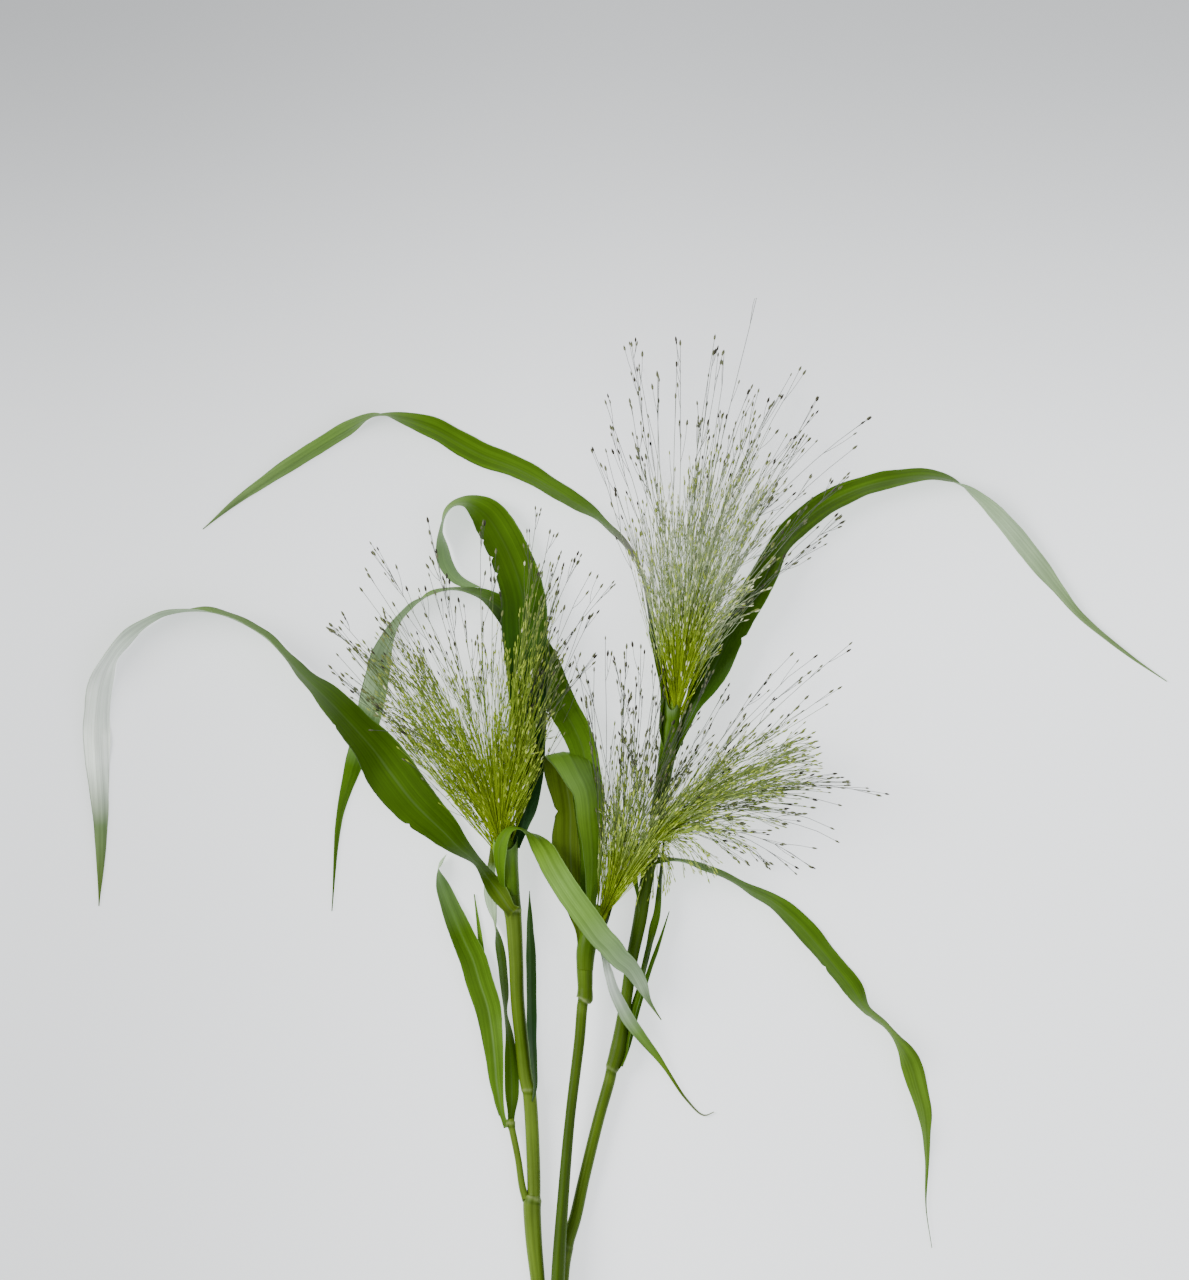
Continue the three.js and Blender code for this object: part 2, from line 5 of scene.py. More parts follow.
import bpy
import numpy as np
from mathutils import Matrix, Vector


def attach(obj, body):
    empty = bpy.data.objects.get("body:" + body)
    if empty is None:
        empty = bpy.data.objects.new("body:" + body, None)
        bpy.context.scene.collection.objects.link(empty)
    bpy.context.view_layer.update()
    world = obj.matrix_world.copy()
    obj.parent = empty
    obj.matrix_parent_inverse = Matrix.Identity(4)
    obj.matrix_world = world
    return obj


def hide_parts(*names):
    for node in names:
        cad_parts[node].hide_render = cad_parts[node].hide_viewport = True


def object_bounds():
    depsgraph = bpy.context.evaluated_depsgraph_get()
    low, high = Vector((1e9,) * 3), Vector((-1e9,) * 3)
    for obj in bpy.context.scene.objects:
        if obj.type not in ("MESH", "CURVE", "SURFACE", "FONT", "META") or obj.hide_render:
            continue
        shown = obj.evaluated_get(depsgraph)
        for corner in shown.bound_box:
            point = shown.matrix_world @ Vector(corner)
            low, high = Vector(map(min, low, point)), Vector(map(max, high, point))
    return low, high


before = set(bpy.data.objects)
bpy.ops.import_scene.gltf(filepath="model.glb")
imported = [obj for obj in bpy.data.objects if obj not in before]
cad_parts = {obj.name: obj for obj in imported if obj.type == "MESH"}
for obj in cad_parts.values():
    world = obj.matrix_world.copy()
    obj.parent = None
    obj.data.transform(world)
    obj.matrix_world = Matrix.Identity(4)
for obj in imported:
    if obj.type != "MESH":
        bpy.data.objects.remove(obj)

cad_low, cad_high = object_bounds()

MM = 0.001
TURN = 2 * math.pi
UP = np.array([0.0, 0.0, 1.0])
NEARLY_UP = UP + 0.01  # no thread runs exactly this way
TINY = 1e-12
SHORTEST_SPAN = 1e-4
FINE_STEPS = 60

# The photograph's frame, in millimetres on the floor: its middle and the height that it shows.
VIEW_MIDDLE = (-10.5, 105.0)
VIEW_HEIGHT = 426.7
VIEW_LEVEL = 8.0
LENS = 200.0
SENSOR = 36.0
FARTHEST = 20

# Blades, in millimetres. CHANNEL is a share of the width, and WAVE_SHARE, RAGGED and UNEVEN of half of it.
RING_STEP = 0.9
BLADE_COLUMNS = 24
STEPS_PER_STRETCH = 2
NARROWEST = 0.3
CHANNEL = 0.07
FOLD = 1.4
SURFACE_GAP = 0.05
LEAF_THICKNESS = 0.26
MARGIN_THICKNESS = 0.1
BODY_CURVE = 4
THIN_BELOW = 1.5
CAD_THICKNESS = 0.7
CAD_TIP_THICKNESS = 0.3
CAD_THICKENING = 0.25
KEEL = 0.22
KEEL_WIDTH = 0.55
RIB_WIDTH = 0.3
RIB_FULL = 3
RIB_FADE = 1.1
RIM_WIDTH = 0.35
RIM_TINT = 0.3
WAVE_LENGTH = 20
WAVE_HEIGHT = 0.5
WAVE_SHARE = 0.09
WAVE_SHARES = (0.6, 0.95, 1.3, 1.65)
CALM_ENDS = 12
SEEDS_EACH = 10
RAGGED = 0.012
RAGGED_LENGTH = 3.1
UNEVEN = 0.01
UNEVEN_LENGTH = 13
NICK_REACH = 3.5

# Culms and sheaths
CULM_STEP = 0.35
CULM_SIDES = 32
CULM_RING = CULM_SIDES + 1
CULM_ANGLES = np.arange(CULM_RING) / CULM_SIDES * TURN
CULM_RIBS = 13
RIB_HEIGHT = 0.01
CUT_SLANT = 0.7
HOLLOW = 0.62
HOLLOW_DEPTH = 2
PIT_DEPTH = 2.2
SHEATH_WALL = 0.25
LEAN_CURVE = 3
MOUTH_TINT = 0.25
MOUTH_SHARE = 0.03

# The materials' grain: ribs round culms and sheaths, and a shift that sets the pieces apart
GRAIN_RIBS = 15
SHEATH_RIBS = 20
GRAIN_SHIFT = 3.7
CULM_SHIFT = 2.3
SHEATH_SHIFT = 1.9

# The rays of a seed head, in millimetres. WITHIN_SHARES are of the dense part's length, BEYOND_SHARES of
# the way from its end to the longest tips.
RAY_SIDES = 3
RAY_STEPS = 12
RAY_RADII = (0.17, 0.11)
WITHIN_SHARES = (0.35, 1.02)
BEYOND_SHARES = (0.15, 1)
BEYOND_CURVE = 1.2
TIP_TILT = 0.55
LOW_TIP = 1.5
HIGH_TIP = 26.5
LEVEL_LENGTH = 55
LEAST_SPREAD = 0.15
CLIMB_CURVE = 1.6
LATE_FROM = 58
LATE_OVER = 28
START_SCATTER = 2
RAY_SLOPE = 0.1
SLOPE_BY_TILT = 0.3
LEVEL_TILT = 0.4
RAY_BEND = 0.45
RAY_WOBBLE = 0.11
AXIS_FOOT = (0.3, 3, 0.3)
AXIS_RADII = (1.1, 0.3)
LOWEST = 0.3
HIGHEST = 28.6

# Branchlets on the rays, and short hair at the foot
BRANCH_STEPS = 4
BRANCH_RADII = (0.11, 0.09)
BRANCH_SPACING = 8
BRANCH_EXTRA = 3
BRANCH_COUNTS = (5, 13)
BRANCH_PLACES = (0.28, 0.98)
PLACE_CURVE = 0.85
BARE_SHARE = 0.7
BRANCH_SPREAD = 0.15
BRANCH_BEND = 1.6
BRANCH_SHARES = (0.06, 0.2)
BRANCH_LEAST = 1.6
LONG_RAY = 60
BEYOND_TIP = 2.5
GENERATION_SIZES = (1, 0.45)
FORK_SHARE = 0.35
HAIR_COUNT = 600
HAIR_STEPS = 5
HAIR_RADII = (0.11, 0.08)
HAIR_LENGTHS = (9, 38)
HAIR_MOST = 0.8
HAIR_CLIMB = 9
HAIR_SLOPES = (-0.35, 0.45)
HAIR_TURN = 0.75
HAIR_GREEN = 0.6

# Husks, whose profile is [share of the length, share of the width]
HUSK_SIDES = 4
HUSK_PROFILE = [[0, 0.25], [0.2, 0.85], [0.5, 1], [0.8, 0.6], [1, 0.06]]
HUSK_LENGTHS = (1.3, 2.1)
HUSK_WIDTHS = (0.22, 0.36)
WIDTH_SCATTER = (0.9, 1.1)
HUSK_OUTER = 1.1
HUSK_TIP_TINT = 0.35
HUSK_TIP_CURVE = 3
BROWN_FROM = 0.95
BROWN_OVER = 0.4
BROWN_SCATTER = 0.15
# Shares of dark and pale husks: partly their own colour, partly painted shade and a painted sunlit
# highlight.
DARK_AND_SHADE_SHARE = 0.2
PALE_AND_HIGHLIGHT_SHARE = 0.1
PALE_AND_HIGHLIGHT_BY_THREADS = 0.6

# How far out the threads change colour, as shares of the dense part
CORE_SIZE = 0.75
CORE_CURVE = 1.5
PALE_FROM = 0.4
PALE_OVER = 0.3
GREY_FROM = 0.8
GREY_OVER = 0.6

# Colours as linear red, green and blue
NIGHT = (0.008, 0.046, 0.005)
FOREST = (0.028, 0.080, 0.003)
MOSS = (0.050, 0.112, 0.002)
FERN = (0.070, 0.156, 0.003)
GRASS = (0.086, 0.182, 0.009)
OLIVE = (0.072, 0.120, 0.005)
DRY = (0.180, 0.185, 0.140)
APPLE = (0.120, 0.235, 0.014)
LIME = (0.150, 0.285, 0.048)
MIST = (0.170, 0.260, 0.100)
SAGE = (0.205, 0.337, 0.125)
SILVER = (0.350, 0.475, 0.290)
# A near-white painted glossy highlight, for undersides that catch the light.
PAINTED_GLOSS = (0.940, 1.000, 0.910)
CULM_DARK = (0.040, 0.082, 0.002)
CULM_GREEN = (0.066, 0.122, 0.003)
CULM_LIGHT = (0.106, 0.175, 0.014)
COLLAR = (0.300, 0.370, 0.150)
CORE = (0.305, 0.435, 0.006)
THREAD = (0.250, 0.370, 0.032)
# Pale threads stand partly for a painted sunlit highlight.
THREAD_PALE_AND_HIGHLIGHT = (0.560, 0.640, 0.430)
THREAD_OUTER = (0.100, 0.115, 0.080)
HUSK = (0.425, 0.550, 0.060)
# Pale husks stand partly for a painted sunlit highlight, dark ones partly for painted shade; dark tips are
# their own colour.
HUSK_PALE_AND_HIGHLIGHT = (0.780, 0.820, 0.500)
HUSK_BROWN = (0.150, 0.160, 0.085)
HUSK_DARK_AND_SHADE = (0.050, 0.045, 0.030)

# Dark and pale bands below a joint of a culm: [colour, strength, how far below, how wide].
JOINT_WIDTH = 0.5
JOINT_BANDS = [[CULM_DARK, 0.7, 1.3, 0.45], [CULM_LIGHT, 0.5, 3.4, 1.8]]

# Materials: the scales of the veins, streaks and patches, then roughness, relief in metres and shine.
MATERIALS = {
    "blade": ([(2.6, 0.015, 1), (0.9, 0.012, 1), (0.12, 0.06, 1)], 0.47, 0.00008, 0.1),
    "culm": ([(2.4, 0.03, 1), (0.7, 0.02, 1), (0.1, 0.08, 1)], 0.42, 0.00005, 0.12),
    "seed_head": ([(1.4, 1.4, 1.4), (0.3, 0.3, 0.3), (0.08, 0.08, 0.08)], 0.5, 0.00002, 0.12),
}
NOISE_DETAILS = (2, 3, 3)
NOISE_RANGE = (0.3, 0.7)
VEIN_TINTS = (0.86, 1.14)
STREAK_TINTS = (0.8, 1.2)
PATCH_TINTS = (0.88, 1.12)
SHEEN_BELOW = 0.06
SHEEN_ABOVE = 0.1
RELIEF_STRENGTH = 0.6

# The floor, in metres. Painted shade darkens it along an axis: [axis, from, to, how much of its colour is
# left].
FLOOR_HALF = 4.0
FLOOR_COOL = (0.795, 0.815, 0.840, 1)
FLOOR_WARM = (0.810, 0.825, 0.845, 1)
# The floor glows with its own colour: painted light that fades the shadows on it.
FLOOR_PAINTED_GLOW = 1.3
FLOOR_GRAIN = 6
FLOOR_ROUGHNESS = 0.9
FLOOR_SPECULAR = 0.1
FLOOR_PAINTED_SHADE = (("Y", 0.10, 0.34, 0.38), ("X", 0.02, -0.22, 0.70))

# Lights over the floor: place, size, power and colour
LIGHT_AIM = (-0.01, 0.1, 0)
LIGHTS = {
    "key": ((-1.3, 0.5, 1.0), 1.0, 34, (1.0, 0.99, 0.96)),
    "fill": ((1.2, -0.5, 1.8), 2.0, 12, (0.94, 0.97, 1.0)),
}
SKY = (0.95, 0.975, 1.0, 1)
SKY_STRENGTH = 0.62

# Culms, as stations [x, y, z, radius] in millimetres from the cut end to the seed head. They follow the
# solids, with finer joints.
CULMS = {
    "culm_left": [
        [-28.3, -218.3, 2.7, 2.6], [-28.2, -130, 2.7, 2.6], [-28.3, -125, 3.0, 3.0],
        [-28.4, -120, 2.7, 2.5], [-29.5, -108.3, 2.7, 2.45], [-30.8, -95, 2.8, 2.8],
        [-31.3, -83, 3.1, 3.05], [-31.0, -81.6, 2.9, 2.9], [-30.8, -80.6, 2.7, 2.25],
        [-31.2, -61.7, 2.8, 2.3], [-32.2, -46.4, 3.1, 2.3], [-32.5, -44.8, 3.1, 2.5],
        [-33.3, -41.7, 3.2, 2.35], [-34.9, -28.3, 3.6, 2.25], [-36.2, -15, 4.0, 2.3],
        [-36.7, -1.7, 4.4, 2.45], [-37.5, 11.7, 4.9, 2.75], [-37.9, 15.3, 5.2, 3.0],
        [-38.7, 25, 6.0, 2.9], [-39.2, 33, 7.0, 3.0], [-39.9, 37, 7.5, 2.6], [-41.4, 40.5, 7.9, 1.7],
        [-42.2, 42.4, 8.1, 1.5],
    ],
    "culm_middle": [
        [-24.4, -218.3, 7.6, 2.2], [-23.9, -160, 7.4, 2.3], [-22.7, -108.3, 7.5, 2.3],
        [-21, -81.7, 7.4, 1.95], [-18.7, -55, 7.2, 1.7], [-15.5, -28.3, 7.4, 1.8],
        [-14.3, -15.6, 7.6, 1.85], [-13.8, -14.6, 7.7, 2.85], [-13.6, -11, 7.8, 2.5],
        [-13.7, -3.8, 7.9, 2.8], [-13.2, 3.3, 8.1, 3.1], [-11.8, 8, 8.5, 2.4], [-10.2, 13.3, 9.2, 1.7],
        [-9.0, 16.5, 9.8, 1.4],
    ],
    "culm_right": [
        [-20.4, -218.3, 2.3, 2.1], [-21.0, -150, 2.4, 2.1], [-21.1, -108.3, 2.5, 2.1],
        [-20.2, -99, 2.7, 2.5], [-19.3, -95.5, 2.6, 2.2], [-17.0, -88.3, 2.7, 2.1],
        [-14.0, -75, 2.9, 1.95], [-9.1, -55, 3.3, 1.9], [-5.4, -41.7, 3.6, 1.95], [-4.8, -38.8, 3.7, 1.9],
        [-4.4, -37.6, 3.8, 2.35], [-2.8, -32, 3.8, 2.6], [-0.1, -16, 4.2, 2.0], [2.0, -1.7, 4.7, 2.0],
        [4.7, 11.7, 5.2, 2.3], [6.0, 20, 5.6, 2.3], [8.2, 31.7, 6.1, 2.0], [12.0, 56, 7.1, 2.0],
        [13.6, 70, 7.7, 2.0], [15.3, 78.3, 8.0, 2.0], [16.6, 86, 8.2, 1.3],
    ],
    "side_shoot": [
        [-33.4, -82, 3.3, 1.3], [-34.6, -77.6, 3.6, 1.2], [-36.0, -68.3, 3.6, 1.1],
        [-38.0, -58.5, 3.6, 1.15], [-38.5, -56.3, 3.6, 1.6], [-38.8, -54.9, 3.6, 1.2],
    ],
}

# Blades, as stations [x, y, z, width, roll] to the tip, in millimetres and degrees. The first one lies
# in the culm or its sheath, and the others are the solids' own. Only the folded leaf's upper layer is
# higher, wider and flatter than its solid, and the ribbon's lower part is lower and flatter, so that
# the folded leaf lies in front of it.
BLADES = {
    "leaf_upper_left": [
        [13.8, 66, 7.8, 3.4, 75], [11.5, 76, 8.8, 5, 70], [12.6, 88, 8.4, 6.5, 62],
        [9.1, 104.8, 7, 9, 68], [7.4, 115.2, 6, 9.5, 77], [5.1, 126.8, 5.5, 9.5, 82],
        [1.2, 134.2, 5.2, 9.5, 76], [-8.5, 144.8, 5, 9.5, 72], [-16.7, 150.5, 4.2, 9.5, 52],
        [-35.3, 161.6, 3.4, 9.8, 42], [-48.7, 166.9, 3, 10, 31], [-64.7, 175.4, 3.4, 9.5, 38],
        [-74, 178.6, 4, 9, 58], [-82, 180, 4.6, 8.4, 84], [-87, 178.6, 4.4, 8, 102],
        [-94.2, 174.6, 3.4, 7.4, 126], [-112.6, 163.2, 2.2, 6, 134], [-130.2, 151.3, 1.2, 2.8, 138],
        [-141.5, 142, 0.6, 0.4, 140],
    ],
    "leaf_upper_right": [
        [13.9, 62, 6.6, 2.4, -45], [19.8, 76.5, 8.4, 5.5, -50], [22.2, 82.5, 7.6, 8, -44],
        [28.6, 94.1, 6, 11, -18], [35.6, 108, 5, 11.4, -28], [45.7, 124.7, 4.4, 11.2, -36],
        [52.5, 137.6, 4.6, 10.8, -47], [58.9, 144.2, 4, 10.4, -37], [68.3, 151, 3.8, 10, -36],
        [79.3, 155.9, 4, 9.5, -44], [89.8, 158.5, 4.2, 9, -46], [99.7, 159.7, 4.2, 8.5, -58],
        [106.8, 158.7, 4.2, 8.1, -71], [113.2, 155.9, 4.2, 7.8, -92], [123.7, 146.9, 3, 7.2, -130],
        [138.3, 129.7, 2, 6.2, -152], [144.7, 121.5, 1.5, 4.6, -138], [151.7, 113.3, 1.2, 3, -135],
        [168, 100, 0.8, 1.4, -140], [180.9, 91.1, 0.5, 0.4, -140],
    ],
    "leaf_far_left": [
        [-37.5, 14.4, 9.0, 5.4, 0], [-38.8, 15.6, 9.9, 4.2, 0], [-41.6, 19.6, 9.9, 6, 6],
        [-46, 25.4, 8.6, 7.6, 52], [-49.7, 30.4, 7.4, 9, 70], [-56, 35.8, 6.8, 11.5, 54],
        [-60, 40, 6.5, 13, 40], [-70.7, 50.5, 6, 15.5, 15], [-78.3, 60.3, 7, 16.8, 6],
        [-84.5, 68.7, 8.2, 16.5, 34], [-92.5, 77.7, 9.2, 16, 48], [-99.8, 85.3, 8.6, 15.5, 57],
        [-107.5, 92.7, 8, 15, 74], [-121.8, 107, 7.6, 14, 82], [-138.5, 114.3, 7, 13, 81],
        [-154.7, 112.8, 6.6, 12.2, 94], [-166.7, 104.7, 6, 11.6, 106], [-172, 97.7, 5.6, 11.2, 108],
        [-174.7, 91, 4.6, 10.6, 126], [-176.3, 81.5, 3.6, 10, 137], [-176.7, 71.7, 2.8, 9.4, 149],
        [-175.5, 47.3, 1.8, 6, 142], [-175.5, 31.7, 1.2, 3.4, 138], [-176.2, 16, 0.6, 0.4, 140],
    ],
    "leaf_looped": [
        [-37.0, 36, 8.2, 3.4, -10], [-34.4, 43.5, 8, 4.6, -10], [-33.2, 49, 8, 7.2, -8],
        [-31.8, 60, 7.4, 8.6, -2], [-32.5, 85, 9.7, 12.4, -4], [-33.4, 101.7, 9, 14.6, 0],
        [-34, 111.7, 8, 15.6, 4], [-34.2, 118.3, 7.2, 15, 10], [-38.2, 131.7, 6, 14.2, 14],
        [-45.4, 145, 6.8, 13.4, 24], [-49.3, 148.8, 7, 12.8, 46], [-53.3, 150.6, 6.8, 12, 66],
        [-57.6, 149.6, 6.4, 11, 76], [-60.2, 146.6, 6, 10, 77], [-61.3, 141.5, 5.4, 9, 82],
        [-60.9, 135.6, 4.8, 8, 106], [-59.5, 129.9, 4.2, 7, 114], [-55.7, 125.2, 3.6, 5.2, 112],
        [-48.5, 122.6, 2.4, 0.5, 110],
    ],
    "leaf_ribbon": [
        [-12.0, 7, 10.0, 4.2, 10], [-12.2, 14, 11, 3.6, 20], [-12.2, 23.5, 11.6, 6.4, 14],
        [-11.8, 33.3, 12, 7.2, 10], [-11.9, 43.3, 12.1, 9.4, 8], [-12.6, 53, 12.2, 10.4, 8],
        [-13.4, 62, 12.3, 9.6, 10], [-14.4, 68.5, 11.6, 9.6, 14], [-17, 75, 10.6, 10, 12],
        [-20.3, 81, 8.8, 10.2, 4], [-23.7, 88.3, 5.6, 10.2, 0], [-27.4, 97.5, 3, 10, 2],
        [-32, 105, 2, 10, 6], [-37, 110.8, 1.8, 10, 14], [-42, 115.6, 3.2, 9.8, 42],
        [-46.8, 118.8, 4.4, 9.8, 62], [-50.2, 120.2, 5, 9.6, 75], [-58.3, 121.8, 5, 9.5, 85],
        [-65.7, 119.9, 5, 9.3, 86], [-70.9, 116.3, 4.8, 9.2, 102], [-76.8, 109.7, 4.6, 9.2, 108],
        [-80.7, 101.8, 4, 9.1, 130], [-82.7, 93.7, 2.6, 9, 150], [-84.5, 85.7, 1.4, 8.8, 168],
        [-88, 72, 1, 7.8, 176], [-91.5, 61.3, 1.2, 5.8, 158], [-95.7, 45.3, 1, 2.8, 142],
        [-98.3, 14.3, 0.6, 0.4, 140],
    ],
    "leaf_folded": [
        [-15.2, 3.5, 9, 2, 0], [-15.8, 8.2, 9.4, 2.2, 0], [-16.7, 14, 9.6, 5.2, 0],
        [-17.9, 24, 9.6, 10, 0], [-18.6, 38, 9.6, 12.4, 0], [-18.6, 48, 9.6, 10.2, 0],
        [-20.4, 60, 9.6, 13.2, 0], [-21.2, 66.4, 10.1, 13.4, 0], [-21.2, 67.6, 11.6, 13.2, 0],
        [-19.4, 66.8, 14.6, 15, -1], [-16.1, 61, 18.8, 13.2, -4], [-13.3, 55, 19.4, 10.2, -6],
        [-12.2, 45, 19.2, 9.6, -8], [-11.3, 34, 18.3, 7.6, -12], [-11.5, 25, 17, 6.4, -24],
        [-12, 16, 15.6, 6.2, -48], [-11.6, 10.3, 15, 6.4, -60], [-9.6, 5.3, 14.6, 6.2, -52],
        [-7, -0.3, 13.8, 5.6, -38], [-5.6, -5.5, 12.8, 5.2, -24], [-4.1, -10.8, 11.9, 4.9, -12],
        [-1.2, -17.2, 10.9, 4.8, 4], [1, -21.4, 10.3, 4.6, 14], [5.6, -27.8, 7.6, 3.5, 18],
        [10.6, -34.2, 3.9, 2.3, 18], [13.5, -38.4, 2.7, 1.5, 14], [20.3, -48.6, 1.3, 1, 0],
        [26, -53.9, 0.8, 0.7, 0], [29.5, -52.8, 0.6, 0.4, 0],
    ],
    "leaf_flag": [
        [-41.0, 21.5, 8.4, 2.0, 140], [-42.2, 30, 11, 4.6, 140], [-42.2, 35, 12.2, 5.8, 138],
        [-41, 39.2, 13.2, 6, 124], [-38.8, 41.9, 14, 6, 100], [-36, 42.5, 14.6, 6.2, 68],
        [-33.3, 41.6, 15.2, 6.6, 64], [-30.6, 39.7, 16, 7, 90], [-27.4, 35.5, 17, 7.4, 126],
        [-24.2, 29.3, 18.4, 8, 148], [-19.7, 22, 20, 8.4, 156], [-12.5, 12, 21, 8.4, 152],
        [-8.3, 6.3, 20.6, 8, 152], [-5.3, 3.2, 19.8, 7.8, 154], [-2, -0.8, 18, 7, 138],
        [1.5, -3.8, 16, 6, 130], [5, -9.3, 12.4, 4.6, 138], [7.8, -15.5, 8.4, 1.6, 140],
        [11.8, -21.8, 5.5, 0.4, 140],
    ],
    "leaf_lower_right": [
        [-9.4, 5.6, 8.4, 2.6, -60], [-6.6, 11, 9, 3, -60], [-4.7, 17.3, 9.8, 3.8, -62],
        [-1.3, 23, 10.6, 4.4, -62], [5.7, 29.8, 11.2, 4.8, -64], [11.9, 31.4, 10.8, 5.6, -72],
        [18, 31.3, 9, 6.8, -80], [24.8, 29.2, 7.6, 8, -70], [32, 26.3, 6, 8.4, -73],
        [40.4, 21.8, 5, 8.8, -64], [49, 17.3, 4.6, 9.2, -51], [57.8, 9.8, 4, 9.6, -37],
        [69.9, -4.5, 3.8, 9.5, -39], [75, -11, 3.8, 9.3, -37], [79.7, -18.3, 4.4, 9.2, -62],
        [86, -23.7, 4.8, 9, -69], [90.9, -30, 4.4, 8.8, -56], [94.7, -36.3, 2.8, 8.5, -22],
        [97.3, -44.7, 2.2, 8, -24], [99.5, -53.2, 1.8, 7, -32], [100.2, -61, 1.4, 4.8, -40],
        [100.6, -68.7, 1, 2.6, -40], [100.3, -84, 0.8, 0.8, -40], [102.3, -98.3, 0.6, 0.4, -40],
    ],
    "leaf_thin_right": [
        [-2.4, -38, 4.6, 1.6, -60], [-0.3, -34.3, 5, 2.4, -60], [0.9, -27, 5, 3, -60],
        [2.8, -18, 5, 3.4, -50], [4.8, -11.3, 5.2, 3.6, -60], [6.2, -4.7, 5.4, 3.8, -62],
        [8.3, 4.2, 5.6, 4, -58], [9.3, 9, 5.8, 4, -48], [10.5, 14, 5.8, 3.8, -52],
        [11.6, 25, 5.4, 2.6, -62], [12.5, 36, 5.4, 1.4, -60], [12.7, 45, 5.6, 0.4, -60],
    ],
    "leaf_spike": [
        [-1.5, -37.5, 2.4, 1.2, -30], [0.8, -31, 1.8, 1.6, -30], [4.4, -17, 1.8, 1.9, -30],
        [8.4, -4, 2, 1.9, -40], [10.6, 2.1, 2.2, 1.7, -40], [14.5, 14.3, 2.2, 0.4, -40],
    ],
    "leaf_short": [
        [4.8, 14.5, 7.2, 1.0, 40], [3.6, 21.4, 7.6, 1.4, 40], [2.8, 25.5, 7.6, 2.6, 40],
        [1.4, 32, 7.2, 2.8, 40], [-0.6, 40, 6.4, 2.2, 40], [-2.8, 48, 5.6, 0.4, 40],
    ],
    "leaf_pointed": [
        [-31.2, -49, 5.2, 1.6, 60], [-30.4, -44, 5.5, 2.6, 60], [-31, -36, 5.8, 4, 56],
        [-31.6, -25, 5.8, 5, 50], [-31.8, -11.7, 6, 5, 50], [-31.9, 0, 6, 4.8, 48],
        [-32.2, 9, 5.8, 3.6, 50], [-32.2, 21.3, 5.4, 0.4, 50],
    ],
    "leaf_shoot_tall": [
        [-38.6, -57.6, 3.9, 2.6, 36], [-38.4, -53.4, 3.8, 3.2, 40], [-38.2, -47, 3.6, 5, 26],
        [-38.5, -38, 3.4, 5.6, 36], [-39.1, -28, 3.4, 5.2, 56], [-40.5, -20, 3.2, 5, 80],
        [-40.7, -13.3, 3.2, 5.2, 62], [-41.5, -4, 3.2, 5.4, 57], [-42.7, 4, 3.2, 5.2, 62],
        [-43.7, 9.3, 3.2, 5, 88], [-45, 15.7, 2.6, 4.8, 132], [-45.6, 22, 1.6, 4.2, 164],
        [-45, 30, 1.4, 2.6, 165], [-45, 38, 1.2, 0.4, 165],
    ],
    "leaf_shoot_left": [
        [-39.8, -57.8, 3.9, 2.2, -26], [-41.2, -53.5, 3.8, 2.2, -30], [-43.1, -43.3, 3.8, 4.6, -10],
        [-43.8, -35, 3.8, 6, -8], [-44.9, -25, 3.4, 7.6, -6], [-46.2, -17.7, 3.2, 8.8, 4],
        [-48.9, -9.3, 3, 9.2, 8], [-51.2, -1.7, 3, 9.2, 12], [-54.3, 5, 3, 8.6, 20],
        [-59.5, 17.3, 2.8, 7.2, 34], [-61.7, 23.3, 2.6, 6.2, 48], [-62.8, 27.7, 2.6, 5, 80],
        [-62.2, 30.3, 2.4, 3.6, 110], [-60, 33.3, 2, 0.4, 120],
    ],
    "leaf_shoot_tip": [
        [-42.0, -54, 1.6, 1, 0], [-43.6, -48, 1.2, 1.4, 0], [-45.5, -20, 1, 2, 0], [-47.5, -5, 0.9, 2, 0],
        [-48.8, 6, 0.9, 1.6, 0], [-50.7, 20, 0.6, 0.4, 0],
    ],
}

